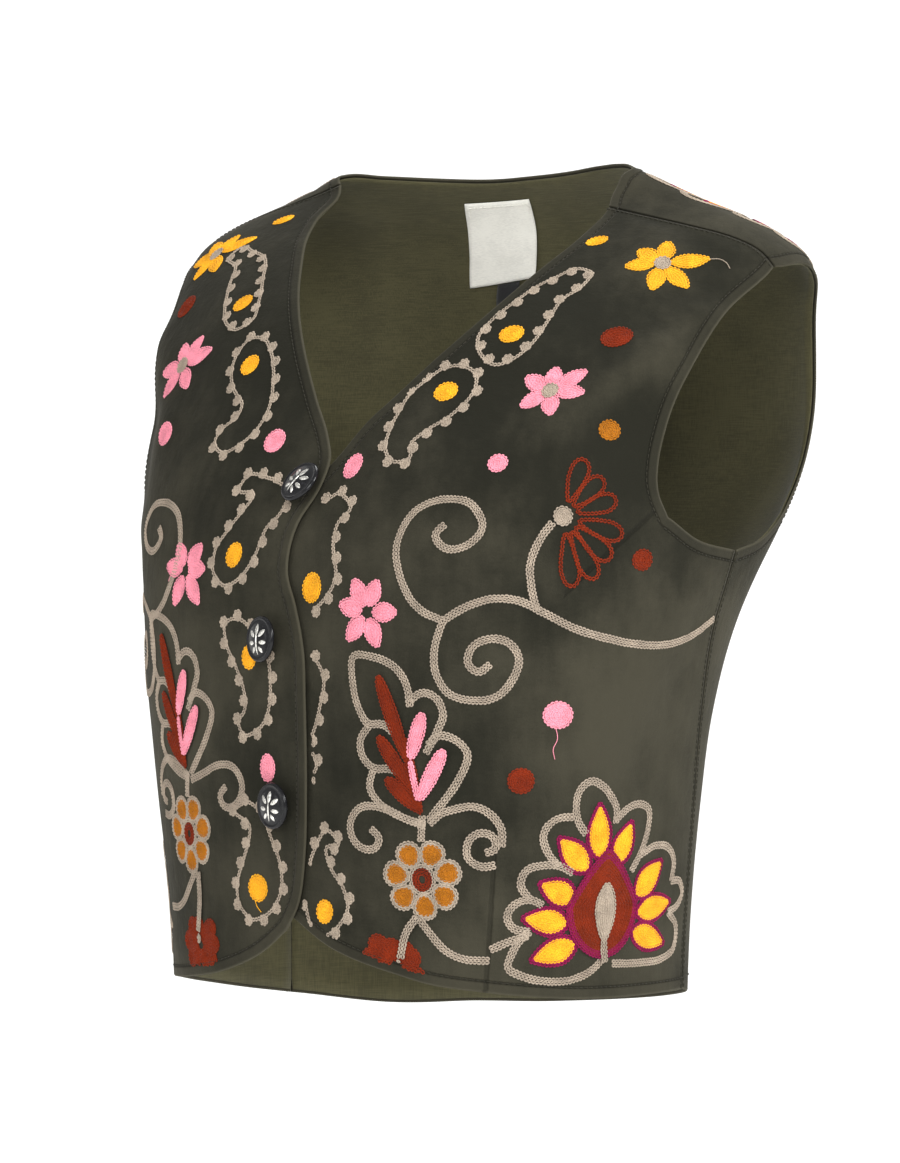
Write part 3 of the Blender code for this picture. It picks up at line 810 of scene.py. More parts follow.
def velvet_finish():
    """Short-pile velvet: clouded pile, brushed streaks, pile grain, stitch lines and creases sunk
    in with painted shade, and painted light on its edges, folds and lower part.
    """
    finish = Finish(
        "brushed_velvet",
        Roughness=0.90,
        Specular_IOR_Level=0.10,
        Sheen_Weight=0.07,
        Sheen_Roughness=0.38,
        Sheen_Tint=(0.75, 0.70, 0.58, 1.0),
    )
    patches, clouds, streaks, rows, pile = [finish.noise(*values) for values in VELVET_NOISES]
    shade, brushed = tuple(colours().velvet), tuple(colours().velvet_brushed)
    edge = finish.attribute("edge")
    # Painted shade in the topstitching's groove, which the bump also sinks
    groove = abs(edge - sizes().stitch_inset).ramp(0.0, GROOVE_HALF_WIDTH, 1.0, 0.0)
    folded = edge.ramp(*FOLDED_FADE, 1.0, 0.0)
    # Painted shade along the seams, which the bump also sinks
    seam_line = finish.attribute("seam").ramp(0.0, SEAM_LINE_WIDTH, 1.0, 0.0)
    # Painted shade along the dart and the waist seam, which the bump also sinks
    crease = abs(finish.attribute("crease")).ramp(*CREASE_FADE, 1.0, 0.0)
    # A painted highlight along the turned edges, where they catch the light
    edge_highlight = edge.ramp(0.0, EDGE_HIGHLIGHT_WIDTH, 1.0, 0.0)
    height = finish.node("ShaderNodeSeparateXYZ", {}, {"Vector": finish.place}, 2)
    # Painted light: paler low down, with a painted highlight on the rises of the folds and over the
    # back's shoulders
    painted_light = height.ramp(*PAINTED_LIGHT_BY_HEIGHT) + finish.attribute("nap") * PAINTED_HIGHLIGHT_BY_RISE
    light = patches * 0.52 + clouds * 0.26 + streaks * 0.10 + rows * 0.04 + pile * 0.08
    nap = finish.mix((light + painted_light).ramp(BRUSHED_FROM, BRUSHED_TO), shade, brushed)
    turned_edge = finish.mix(folded * 0.30, nap, shaded(brushed, 0.85))
    with_edge_highlight = finish.mix(edge_highlight * 0.60, turned_edge, shaded(brushed, 1.7))
    # The painted shade of the grooves, seams and creases, mixed towards a darker velvet
    dark = groove * 0.40 + seam_line * 0.50 + crease * 0.38
    finish.set(Base_Color=finish.mix(dark, with_edge_highlight, shaded(shade, 0.40)))
    grain = pile * 0.00018 + rows * 0.00012 + streaks * 0.00035 + clouds * 0.0014 + folded * 0.0005
    finish.bump(grain - groove * 0.0005 - seam_line * 0.0006 - crease * 0.0009)
    return finish.material


def lining_finish():
    """Plain-woven cotton: slubs along both threads, and softly creased."""
    finish = Finish("plain_cotton", Roughness=0.82, Specular_IOR_Level=0.25, Sheen_Weight=0.10)
    warp = finish.noise(1.0, 2.0, (2400.0, 2400.0, 110.0))
    weft = finish.noise(1.0, 2.0, (110.0, 110.0, 2400.0))
    crease = finish.noise(30.0, 3.0)
    light = (warp + weft) * 0.35 + crease * 0.30
    dark = shaded(colours().lining, 0.80)
    finish.set(Base_Color=finish.mix(light.ramp(0.40, 0.60), dark, shaded(colours().lining, 1.25)))
    finish.bump(warp * 0.00010 + weft * 0.00010 + crease * 0.0008)
    return finish.material


def label_finish(name, colour):
    """Woven satin tape: fine crosswise ribs and a soft sheen."""
    finish = Finish(name, Roughness=0.55, Specular_IOR_Level=0.35, Sheen_Weight=0.15)
    ribs = finish.noise(1.0, 2.0, (500.0, 500.0, 2600.0))
    soil = finish.noise(60.0, 3.0)
    light = ribs * 0.5 + soil * 0.5
    finish.set(Base_Color=finish.mix(light.ramp(0.35, 0.65), shaded(colour, 0.86), tuple(colour)))
    finish.bump(ribs * 0.00012 + soil * 0.0004)
    return finish.material


def thread_finish(name, colour):
    """Stranded cotton: twisted, matt, a little uneven in colour."""
    finish = Finish(name, Roughness=0.78, Specular_IOR_Level=0.14, Sheen_Weight=0.03)
    dye = finish.noise(140.0, 3.0)
    twist = finish.noise(1.0, 2.0, (1500.0, 1500.0, 1500.0))
    light = dye * 0.55 + twist * 0.45
    dark, pale = shaded(colour, 0.74), shaded(colour, 1.10)
    finish.set(Base_Color=finish.mix(light.ramp(0.34, 0.66), dark, pale))
    finish.bump(twist * 0.00022)
    return finish.material


def button_finish():
    """Polished black with hair scratches."""
    finish = Finish("polished_black", Coat_Roughness=0.10, IOR=1.45, Specular_IOR_Level=0.22)
    scratch = finish.noise(1.0, 3.0, (900.0, 900.0, 120.0))
    dust = finish.noise(700.0, 3.0)
    black = tuple(colours().button)
    finish.set(
        Base_Color=finish.mix(dust.ramp(0.55, 0.75), black, shaded(black, 2.6)),
        Roughness=scratch.ramp(0.35, 0.70, 0.10, 0.26),
        Coat_Weight=dust.ramp(0.45, 0.70, 0.12, 0.04),
    )
    finish.bump(scratch * 0.00002)
    return finish.material


def silver_finish():
    """Worn silver: bright in some places, duller and darker in others, at random."""
    finish = Finish("worn_silver")
    wear = finish.noise(900.0, 3.0)
    silver = tuple(colours().silver)
    finish.set(
        Base_Color=finish.mix(wear.ramp(0.35, 0.65), shaded(silver, 0.55), silver),
        Metallic=wear.ramp(0.25, 0.60, 0.75, 1.0),
        Roughness=wear.ramp(0.35, 0.70, 0.24, 0.42),
    )
    finish.bump(wear * 0.00005)
    return finish.material


def shared(name, make, *values):
    """A material by name, made the first time that it is wanted."""
    return bpy.data.materials.get(name) or make(*values)


def velvet():
    return shared("brushed_velvet", velvet_finish)


def lining():
    return shared("plain_cotton", lining_finish)


def thread(name):
    return shared(name + "_thread", thread_finish, name + "_thread", getattr(colours(), name))


def measured(places, edges):
    """How far each point of a panel's face lies from some edges of it."""
    lines = [surface(edge) for edge in edges]
    return shortest(surface(places), lines)


# Seams that cross a panel, in places written for the left: a bust dart and a waist seam
DART = (Place(-19.5, -0.1760), Place(-25.0, -0.2000), Place(-30.0, -0.2200))
WAIST_SEAM = (Place(-37.0, -0.3280), Place(-37.5, -0.3700), Place(-38.5, -0.4140))
SEAM_SHARES = np.linspace(0.0, 1.0, 60)

# How far past such a seam's end, and how far from it, a point still counts as beside it
LINE_END = 0.0012
BESIDE = 0.008
FAR_OFF = 0.9

# The way that is taken as the upper side of a seam
SEAM_UP = np.array((0.3, -0.8, 0.1))


def across(points, lines):
    """The distance from each point to the nearest line, below zero on one side of it."""
    best = np.full(len(points), 1.0)
    for line in lines:
        apart = points[:, None] - line[None]
        far = np.linalg.norm(apart, axis=2)
        nearest = far.argmin(axis=1)
        along = np.gradient(line, axis=0)[nearest]
        along /= np.linalg.norm(along, axis=1)[:, None]
        offset = apart[np.arange(len(points)), nearest]
        ahead = np.abs((offset * along).sum(axis=1)) > LINE_END
        side = np.sign(np.cross(along, offset) @ SEAM_UP)
        nearest_far = far.min(axis=1)
        value = side * np.where(ahead | (nearest_far > BESIDE), FAR_OFF, nearest_far)
        best = np.where(np.abs(value) < np.abs(best), value, best)
    return best


# The back is painted paler where it comes over the shoulders, a painted highlight on their tops
SHOULDER_HIGHLIGHT = 0.0042
SHOULDER_LOW = -0.060
SHOULDER_HIGH = -0.025


def make_panel(name, rows):
    """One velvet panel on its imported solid's form, with what its material reads."""
    sheet, turned_edges, seams = panel_parts(name, rows)
    places = np.array(sheet.places)
    wall = BACK_WALL if name == "back" else VELVET_WALL
    piece = shell(name + "_velvet", sheet, face_of(name, places), wall, velvet())
    mark(piece, "edge", measured(places, turned_edges))
    mark(piece, "seam", measured(places, seams))
    creases = np.full(len(places), 1.0)
    if name != "back":
        curves = [side_of(name, curve(points, SEAM_SHARES)) for points in (DART, WAIST_SEAM)]
        lines = [surface(points) for points in curves]
        creases = across(surface(places), lines)
    mark(piece, "crease", creases)
    # The rises of the folds, kept for the velvet's painted highlight
    nap = fold_rise(places[:, 0], places[:, 1])
    # A painted highlight over the back's shoulders, added to the same field
    if name == "back":
        share = (places[:, 1] - SHOULDER_LOW) / (SHOULDER_HIGH - SHOULDER_LOW)
        nap += SHOULDER_HIGHLIGHT * np.clip(share, 0, 1)
    mark(piece, "nap", nap)
    return seat(piece, "velvet", name)


def side_of(name, places):
    """Places written for the left, on the panel's own side."""
    return mirrored(places) if name == "front_right" else places


def panel_parts(name, rows, inset=0.0):
    """A panel's sheet, turned edges and seams, sewn in at its seams and inset from its edges."""
    if name == "back":
        sheet, turned_edges, seams = back_sheet(rows)
    else:
        sheet, turned_edges, seams = front_sheet(name.removeprefix("front_"), rows)
    sheet.pull_in(seams, SEAM_PULL)
    if inset:
        sheet.pull_in(turned_edges, inset)
    if name == "front_right":
        sheet.mirror()
    return sheet, [side_of(name, e) for e in turned_edges], [side_of(name, e) for e in seams]


# Cut sizes: width, length and flat area of each panel, measured along the cloth
CUTS = {
    "front_left": (0.270, 0.420, 0.0877),
    "front_right": (0.270, 0.430, 0.0906),
    "back": (0.480, 0.470, 0.1700),
}


def cut_to(piece, name):
    """Look up the panel's cut width, length and flat area; nothing more is done with them."""
    width, length, area = CUTS[name]


class WAISTCOAT_OT_fronts(bpy.types.Operator):
    """Make the two velvet fronts"""

    bl_idname = "waistcoat.fronts"
    bl_label = "Velvet fronts"

    def execute(self, context):
        rows = Rows(sizes().cloth_step, True)
        for name in ("front_left", "front_right"):
            piece = make_panel(name, rows)
            cut_to(piece, name)
        return {"FINISHED"}


class WAISTCOAT_OT_back(bpy.types.Operator):
    """Make the velvet back"""

    bl_idname = "waistcoat.back"
    bl_label = "Velvet back"

    def execute(self, context):
        piece = make_panel("back", Rows(sizes().cloth_step, True))
        cut_to(piece, "back")
        return {"FINISHED"}


class WAISTCOAT_OT_linings(bpy.types.Operator):
    """Make the linings of the fronts and the back"""

    bl_idname = "waistcoat.linings"
    bl_label = "Linings"

    def execute(self, context):
        rows = Rows(sizes().lining_step, False)
        for name in ("front_left", "front_right", "back"):
            sheet, turned_edges, _ = panel_parts(name, rows, sizes().lining_inset)
            depth, wall = VELVET_WALL + GAP / 3, LINING_WALL
            if name == "back":
                depth, wall = BACK_WALL + GAP, BACK_LINING_WALL
            places = np.array(sheet.places)
            outer = face_of(name, places) - depth
            piece = shell(name + "_lining_cloth", sheet, outer, wall, lining())
            mark(piece, "edge", measured(places, turned_edges))
            seat(piece, "lining", *(["back_lining"] if name == "back" else []))
            cut_to(piece, name)
        return {"FINISHED"}


# Steps that the cloth's directions are measured over, and the steps of a walk
ANGLE_STEP = 0.05
HEIGHT_STEP = 1e-4
WALK_STEPS = 6


def slope(places, step):
    """How the cloth's points move as places move by a step, per unit of it."""
    return (surface(places + step) - surface(places - step)) / (2 * max(step))


def frame_at(places):
    """Points, the directions to the right, up and out, and how a place moves along them."""
    points = surface(places)
    by_angle = slope(places, (ANGLE_STEP, 0.0))
    by_height = slope(places, (0.0, HEIGHT_STEP))
    stretch = np.linalg.norm(by_angle, axis=1)
    right = by_angle / stretch[:, None]
    lean = (by_height * right).sum(axis=1)
    up = by_height - lean[:, None] * right
    rise = np.linalg.norm(up, axis=1)
    up /= rise[:, None]
    return points, right, up, np.cross(right, up), (stretch, lean, rise)


def walk(places, right, up):
    """Places reached from places by going some metres to the right and up on the cloth."""
    places = np.array(places, dtype=float)
    for _ in range(WALK_STEPS):
        stretch, lean, rise = frame_at(places)[4]
        height = up / WALK_STEPS / rise
        places[:, 1] += height
        places[:, 0] += (right / WALK_STEPS - height * lean) / stretch
    return places


# A strand of thread in a stitch: along, aside and above, as shares of its sizes
CHAIN_STRANDS = (
    ((-0.02, 0.04, 0.00), (0.30, 0.30, 0.40), (0.72, 0.30, 0.40), (1.10, 0.03, 0.12)),
    ((-0.02, -0.04, 0.00), (0.30, -0.30, 0.40), (0.72, -0.30, 0.40), (1.10, -0.03, 0.12)),
)
CHAIN_THREAD = 0.26
CHAIN_SIDES = 3
RUN_STRANDS = (
    ((0.0, 0.0, -0.9), (0.12, 0.0, 0.25), (0.5, 0.0, 0.45), (0.88, 0.0, 0.25), (1.0, 0.0, -0.9)),
)
RUN_THREAD = 0.5
RUN_SIDES = 4


def strand_template(strands, thread, sides):
    """Points of a stitch's strands as shares, with the faces that join them."""
    points, faces = [], []
    for strand in strands:
        base = len(points)
        for along, aside, above in strand:
            for k in range(sides):
                turn = math.tau * (k + 0.5) / sides - math.pi / 2
                x, y = thread * math.cos(turn), thread * math.sin(turn)
                points.append((along, aside + x, above + y))
        for ring in range(len(strand) - 1):
            for k in range(sides):
                low, high = base + ring * sides, base + (ring + 1) * sides
                after = (k + 1) % sides
                faces.append((low + k, low + after, high + after, high + k))
        faces.append(tuple(base + k for k in reversed(range(sides))))
        faces.append(tuple(base + (len(strand) - 1) * sides + k for k in range(sides)))
    return np.array(points), faces


class Stitching:
    """Stitches of one piece, gathered run by run, each in its own thread."""

    def __init__(self, width, height, strands, thread_width, sides):
        self.width = width
        self.height = height
        self.template, self.cells = strand_template(strands, thread_width, sides)
        self.points = []
        self.colours = []
        self.patches = []

    def patch(self, points, faces, colour):
        """Faces of plain thread under the stitches."""
        if faces:
            self.patches.append((points, faces, colour))

    def sew(self, starts, ends, normals, colour=0):
        """Stitches from starts to ends on a face with these normals."""
        along = ends - starts
        aside = np.cross(normals, along)
        aside /= np.linalg.norm(aside, axis=1)[:, None]
        t, s, h = self.template.T
        made = starts[:, None] + t[None, :, None] * along[:, None]
        made = made + (s * self.width)[None, :, None] * aside[:, None]
        made = made + (h * self.height)[None, :, None] * normals[:, None]
        self.points.append(made.reshape(-1, 3))
        self.colours.append(np.full(len(starts), colour))

    def make(self, name, finishes):
        """The piece that holds all the stitches."""
        points = np.concatenate(self.points)
        colours_of = np.concatenate(self.colours)
        size = len(self.template)
        faces = [
            tuple(k + base for k in cell)
            for base in range(0, len(points), size)
            for cell in self.cells
        ]
        finish_of = np.repeat(colours_of, len(self.cells)).tolist()
        for more, cells, colour in self.patches:
            faces += [tuple(k + len(points) for k in cell) for cell in cells]
            points = np.concatenate([points, more])
            finish_of += [colour] * len(cells)
        return lay(name, points, faces, finishes, finish_of)


def running():
    """Running stitches in the seam thread."""
    width = sizes().stitch_width
    return Stitching(width, width, RUN_STRANDS, RUN_THREAD, RUN_SIDES)


def paced(points, pitch):
    """Positions along a polyline as shares of its point numbers, a pitch apart."""
    steps = np.linalg.norm(np.diff(points, axis=0), axis=1)
    run = np.concatenate([[0.0], np.cumsum(steps)])
    count = max(2, int(round(run[-1] / pitch)))
    return np.interp(np.linspace(0.0, run[-1], count + 1), run, np.arange(len(points)))


def sampled(rows, positions):
    """Rows of numbers read at positions between them."""
    numbers = np.arange(len(rows))
    columns = [np.interp(positions, numbers, column) for column in rows.T]
    return np.stack(columns, axis=1)


def inset_line(places, inset, centre):
    """A line inside an edge, walked in towards the panel's centre."""
    points, right, up = frame_at(places)[:3]
    along = np.gradient(points, axis=0)
    ahead, above = (along * right).sum(axis=1), (along * up).sum(axis=1)
    size = np.hypot(ahead, above)
    sides = []
    for turn in (1, -1):
        sides.append(walk(places, -turn * above / size * inset, turn * ahead / size * inset))
    middle = surface(centre[None])[0]
    points_of = [surface(side) for side in sides]
    far = [np.linalg.norm(points - middle, axis=1).mean() for points in points_of]
    return sides[int(np.argmin(far))]


STITCH_SHARES = np.linspace(0.0, 1.0, 160)
CORNER_CLEAR = 0.90
STITCH_GAP = 0.09
COARSE_STEP = 0.006
BACK_HEM_INSET = 0.0085
SEAM_INSET = 0.0022


def topstitch(stitching, name, edge, inset, centre, others):
    """Running stitches beside one edge, that stop where another edge's own row begins."""
    line = inset_line(edge, inset, centre)
    flat = surface(line)
    if others:
        line = line[shortest(flat, others) > CORNER_CLEAR * inset]
    run_stitches(stitching, line, face_of(name, line))


def run_stitches(stitching, line, out):
    """Running stitches along a line of places, at a height off the form."""
    points = cloth(line, out)
    positions = paced(points, sizes().stitch_pitch)
    gap = STITCH_GAP * (positions[1] - positions[0])
    starts = sampled(points, positions[:-1] + gap)
    ends = sampled(points, positions[1:] - gap)
    outward = frame_at(sampled(line, (positions[:-1] + positions[1:]) / 2))[3]
    stitching.sew(starts, ends, outward)


def dense(edge):
    """An edge's places resampled for stitching."""
    return evenly(edge, STITCH_SHARES)


class WAISTCOAT_OT_topstitching(bpy.types.Operator):
    """Sew the topstitching beside the turned edges and the seams"""

    bl_idname = "waistcoat.topstitching"
    bl_label = "Topstitching"

    def execute(self, context):
        coarse = Rows(COARSE_STEP, False)
        sewn = running()
        for name in ("front_left", "front_right", "back"):
            sheet, turned_edges, seams = panel_parts(name, coarse)
            insets = [sizes().stitch_inset] * len(turned_edges)
            if name == "back":
                insets[0] = BACK_HEM_INSET
            centre = np.array(sheet.places).mean(axis=0)
            lines = [dense(edge) for edge in turned_edges]
            flats = [surface(line) for line in lines]
            for k, (line, inset) in enumerate(zip(lines, insets)):
                topstitch(sewn, name, line, inset, centre, flats[:k] + flats[k + 1 :])
            for seam in seams:
                topstitch(sewn, name, dense(seam), SEAM_INSET, centre, [])
        piece = sewn.make("topstitching", [thread("seam_thread")])
        seat(piece, "thread")
        return {"FINISHED"}


# Neck label and size tab, as in the frame
LABEL = {
    "top_left": Place(94.0, -0.0085),
    "top_right": Place(136.0, -0.0110),
    "bottom_right": Place(130.5, -0.0565),
    "bottom_left": Place(103.0, -0.0500),
}
TAB_START = 0.30
TAB_WIDTH = 0.34
TAB_DROP = 0.0135
LABEL_CLEAR = 1.6 * GAP
LABEL_WALL = 0.0010
LABEL_CURL = 0.0011
LABEL_GRID = (24, 26)
TAB_GRID = (8, 8)
LABEL_TAPE = LABEL_WALL * 0.7
TAB_TAPE = LABEL_WALL * 0.8

# The label's stitches: lines across and down it as shares, with their pitch and gaps
LABEL_LINES = (
    ((0.04, 0.05), (0.96, 0.05)),
    ((0.04, 0.05), (0.04, 0.16)),
    ((0.96, 0.05), (0.96, 0.16)),
)
LABEL_SAMPLES = 30
LABEL_PITCH = 0.0022
LABEL_GAP = 0.2
INNER_FACE = -(BACK_WALL + GAP + BACK_LINING_WALL + GAP)


def label_place(across, down):
    rows = {name: np.array(place) for name, place in LABEL.items()}
    top = rows["top_left"] + across * (rows["top_right"] - rows["top_left"])
    bottom = rows["bottom_left"] + across * (rows["bottom_right"] - rows["bottom_left"])
    return top + down * (bottom - top)


def tape(name, corner_of, counts, lift, wall, finish):
    """A closed strip of tape inside the neck, lifted off the lining by a rule."""
    columns, rows = counts
    numbers = range(columns + 1)
    grid = [[corner_of(i / columns, j / rows) for i in numbers] for j in range(rows + 1)]
    sheet = Sheet()
    sheet.add(grid)
    across = np.tile(np.linspace(0, 1, columns + 1), rows + 1)
    down = np.repeat(np.linspace(0, 1, rows + 1), columns + 1)
    return shell(name, sheet, INNER_FACE - lift(across, down), wall, finish)


def label_lift(across, down):
    """The label curls off the lining towards its lower corners."""
    return LABEL_CURL * down**2 * (0.35 + 0.65 * (2 * across - 1) ** 2)


def tab_place(across, down):
    """The folded size tab, from under the label's lower edge."""
    edge = label_place(TAB_START + TAB_WIDTH * across, 1.0)
    return edge + np.array([0.0, -LABEL_CLEAR - TAB_DROP * down])


def tab_lift(across, down):
    return 0.0004 + 0.0007 * np.sin(math.pi * np.clip(down, 0, 1)) + 0.0004 * across


class WAISTCOAT_OT_label(bpy.types.Operator):
    """Make the bare neck label, its stitches and the size tab"""

    bl_idname = "waistcoat.label"
    bl_label = "Label"

    def execute(self, context):
        cream = shared("cream_tape", label_finish, "cream_tape", colours().label)
        black = shared("black_tape", label_finish, "black_tape", colours().tab)
        label = tape("neck_label_tape", label_place, LABEL_GRID, label_lift, LABEL_TAPE, cream)
        seat(label, "label_cream", "neck_label")
        tab = tape("size_tab_tape", tab_place, TAB_GRID, tab_lift, TAB_TAPE, black)
        seat(tab, "tab_black", "size_tab")
        sewn = running()
        for start, end in LABEL_LINES:
            shares = np.linspace(start, end, LABEL_SAMPLES)
            line = np.array([label_place(*share) for share in shares])
            out = INNER_FACE - label_lift(*shares.T) - LABEL_TAPE
            points = cloth(line, out)
            positions = paced(points, LABEL_PITCH)
            inward = -frame_at(sampled(line, (positions[:-1] + positions[1:]) / 2))[3]
            starts = sampled(points, positions[:-1] + LABEL_GAP)
            sewn.sew(starts, sampled(points, positions[1:] - LABEL_GAP), inward)
        seat(sewn.make("label_stitches", [cream]), "thread")
        return {"FINISHED"}


# Buttons: domed discs on short shanks, on the right front. Lean tips the face upward,
# turn faces it towards the wearer's right, and spin turns the sprig
Button = namedtuple("Button", "name angle height lean turn spin")
BUTTONS = (
    Button("button_top", -91.5, -0.165, 13.0, 9.0, -28.0),
    Button("button_middle", -94.0, -0.241, 0.0, 14.0, 4.0),
    Button("button_bottom", -90.5, -0.324, 0.0, 10.0, -6.0),
)
BUTTON_RADIUS = 0.0118
BUTTON_SEGMENTS = 64
SHANK_RADIUS = 0.0032
# The half outline: a share of the radius, and the height above the cloth
BUTTON_PROFILE = (
    (0.000, 0.0000),
    (SHANK_RADIUS / BUTTON_RADIUS, 0.0000),
    (SHANK_RADIUS / BUTTON_RADIUS, 0.0034),
    (0.600, 0.0034),
    (0.860, 0.0037),
    (0.965, 0.0043),
    (1.000, 0.0050),
    (0.990, 0.0056),
    (0.950, 0.0062),
    (0.900, 0.0065),
    (0.860, 0.0063),
    (0.820, 0.0061),
    (0.640, 0.0068),
    (0.450, 0.0074),
    (0.220, 0.0078),
    (0.000, 0.0080),
)

# The raised sprig: each leaf's middle, as shares of the radius, its turn, length and width
Leaf = namedtuple("Leaf", "across up turn length width")
LEAVES = (
    Leaf(0.00, 0.40, 90, 0.52, 0.26),
    Leaf(0.34, 0.24, 36, 0.50, 0.22),
    Leaf(-0.34, 0.24, 144, 0.50, 0.22),
    Leaf(0.40, -0.16, 0, 0.44, 0.20),
    Leaf(-0.40, -0.16, 180, 0.44, 0.20),
    Leaf(0.24, -0.46, -50, 0.36, 0.17),
    Leaf(-0.24, -0.46, 230, 0.36, 0.17),
    Leaf(0.00, -0.20, 90, 1.00, 0.09),
)


def dome_height(across, up):
    """Height of the button's face at a share of its radius."""
    rows = BUTTON_PROFILE[6:][::-1]
    return np.interp(np.hypot(across, up), [row[0] for row in rows], [row[1] for row in rows])


def leaf_points(leaf, rings=5, steps=14):
    """A pointed leaf, crowned along its middle, over the button's dome."""
    points = []
    turn = math.radians(leaf.turn)
    for ring in range(rings + 1):
        scale = ring / rings
        for k in range(steps):
            around = math.tau * k / steps
            x = scale * math.cos(around) * leaf.length / 2
            y = scale * math.sin(around) * abs(math.sin(around)) ** 0.4 * leaf.width / 2
            across = leaf.across + x * math.cos(turn) - y * math.sin(turn)
            up = leaf.up + x * math.sin(turn) + y * math.cos(turn)
            rise = 0.00045 * (1 - scale**2) ** 0.5 - 0.00005
            height = float(dome_height(across, up)) + rise
            points.append((across * BUTTON_RADIUS, up * BUTTON_RADIUS, height))
    faces = []
    for ring in range(rings):
        for k in range(steps):
            low, high, after = ring * steps, (ring + 1) * steps, (k + 1) % steps
            faces.append((low + k, high + k, high + after, low + after))
    return points, faces


def button_pose(row):
    """A button's matrix: its face along the cloth's normal, tipped by its lean and turn."""
    place = np.array([[row.angle, row.height]])
    out = Vector(normal(place[:, 0], place[:, 1])[0])
    base = Vector(cloth(place, np.array([GAP]))[0])
    side = Vector((0, 0, 1)).cross(out).normalized()
    tip = (out.cross(side) * row.lean - side * row.turn).normalized()
    tilt = math.radians(math.hypot(row.lean, row.turn))
    axis = (out * math.cos(tilt) + tip * math.sin(tilt)).normalized()
    lift = SHANK_RADIUS * math.sin(tilt)
    pose = axis.to_track_quat("Z", "Y").to_matrix().to_4x4()
    pose.translation = base + out * lift
    return pose


class WAISTCOAT_OT_buttons(bpy.types.Operator):
    """Turn the three buttons and lay a raised silver sprig on each"""

    bl_idname = "waistcoat.buttons"
    bl_label = "Buttons"

    def execute(self, context):
        black = shared("polished_black", button_finish)
        silver = shared("worn_silver", silver_finish)
        for row in BUTTONS:
            made = bmesh.new()
            ring = [made.verts.new((r * BUTTON_RADIUS, 0.0, h)) for r, h in BUTTON_PROFILE]
            edges = [made.edges.new(pair) for pair in zip(ring, ring[1:])]
            bmesh.ops.spin(
                made,
                geom=ring + edges,
                axis=(0, 0, 1),
                angle=math.tau,
                steps=BUTTON_SEGMENTS,
                use_merge=True,
            )
            bmesh.ops.remove_doubles(made, verts=made.verts, dist=0.00002)
            bmesh.ops.recalc_face_normals(made, faces=made.faces)
            mesh = bpy.data.meshes.new(row.name + "_turned")
            made.to_mesh(mesh)
            made.free()
            mesh.materials.append(black)
            mesh.polygons.foreach_set("use_smooth", [True] * len(mesh.polygons))
            mesh.transform(button_pose(row))
            piece = bpy.data.objects.new(row.name + "_turned", mesh)
            bpy.context.scene.collection.objects.link(piece)
            seat(piece, "button_black", row.name)
            points, faces = [], []
            for leaf in LEAVES:
                leaf_at, leaf_faces = leaf_points(leaf)
                faces += [tuple(k + len(points) for k in face) for face in leaf_faces]
                points += leaf_at
            sprig = lay(row.name + "_sprig", points, faces, [silver])
            sprig.data.transform(button_pose(row) @ Matrix.Rotation(math.radians(row.spin), 4, "Z"))
            seat(sprig, "silver_inlay")
        return {"FINISHED"}


# Embroidery. A motif's points are millimetres from its place, to the viewer's right and up
THREADS = ("grey", "yellow", "mustard", "pink", "rust", "magenta")
ROW_APART = 1.9
DOUBLE_APART = 0.98
JITTER = 0.10
# How much further a leaf's rings lie apart at its ends, and the least half length of one
TIP_INSET = 1.25
SHORTEST_RING = 0.3
EDGE_KEPT = 0.0042
COVER_CLEAR = 0.0012
FILL_LIFT = 0.0004
SMALL_FLOWER_LIFT = FILL_LIFT * 2
GROUND_LIFT = 0.00022

Motif = namedtuple("Motif", "angle height flip", defaults=(False,))

Dot = namedtuple("Dot", "panel colour angle height width length turn", defaults=(0,))
DOTS = (
    Dot("front_left", "yellow", -30.1, -0.0366, 13, 8, 24),
    Dot("front_left", "rust", -33.5, -0.0874, 17, 13, 10),
    Dot("front_left", "mustard", -32.4, -0.1345, 12, 11),
    Dot("front_left", "pink", -48.7, -0.1523, 11, 10),
    Dot("front_left", "pink", -81.9, -0.1527, 11, 15, -18),
    Dot("front_left", "rust", -17.7, -0.2001, 12, 11),
    Dot("front_left", "pink", -26.4, -0.2762, 16, 14),
    Dot("front_left", "rust", -32.5, -0.3087, 14, 13),
    Dot("front_left", "yellow", -52.6, -0.0859, 14, 11, 12),
    Dot("front_left", "yellow", -64.4, -0.1160, 14, 11, 15),
    Dot("front_left", "yellow", -83.3, -0.2142, 13, 16),
    Dot("front_left", "yellow", -84.6, -0.2621, 12, 14),
    Dot("front_left", "yellow", -77.9, -0.3765, 12, 13),
    Dot("front_right", "yellow", -164.0, -0.0250, 14, 7, 28),
    Dot("front_right", "rust", -155.7, -0.0724, 15, 14, 40),
    Dot("front_right", "pink", -140.5, -0.1375, 13, 13, 30),
    Dot("front_right", "pink", -106.9, -0.1409, 14, 13, 35),
    Dot("front_right", "pink", -94.8, -0.3056, 10, 15),
    Dot("front_right", "yellow", -139.5, -0.0706, 13, 10, 40),
    Dot("front_right", "yellow", -124.9, -0.1024, 13, 11, 40),
    Dot("front_right", "yellow", -107.6, -0.1987, 11, 14, -20),
    Dot("front_right", "yellow", -100.8, -0.2500, 10, 13),
    Dot("front_right", "yellow", -99.3, -0.3667, 14, 14),
    Dot("front_right", "rust", -164.0, -0.2001, 12, 11),
    Dot("front_right", "pink", -156.0, -0.2762, 15, 14),
    Dot("front_right", "rust", -156.0, -0.3087, 14, 13),
)

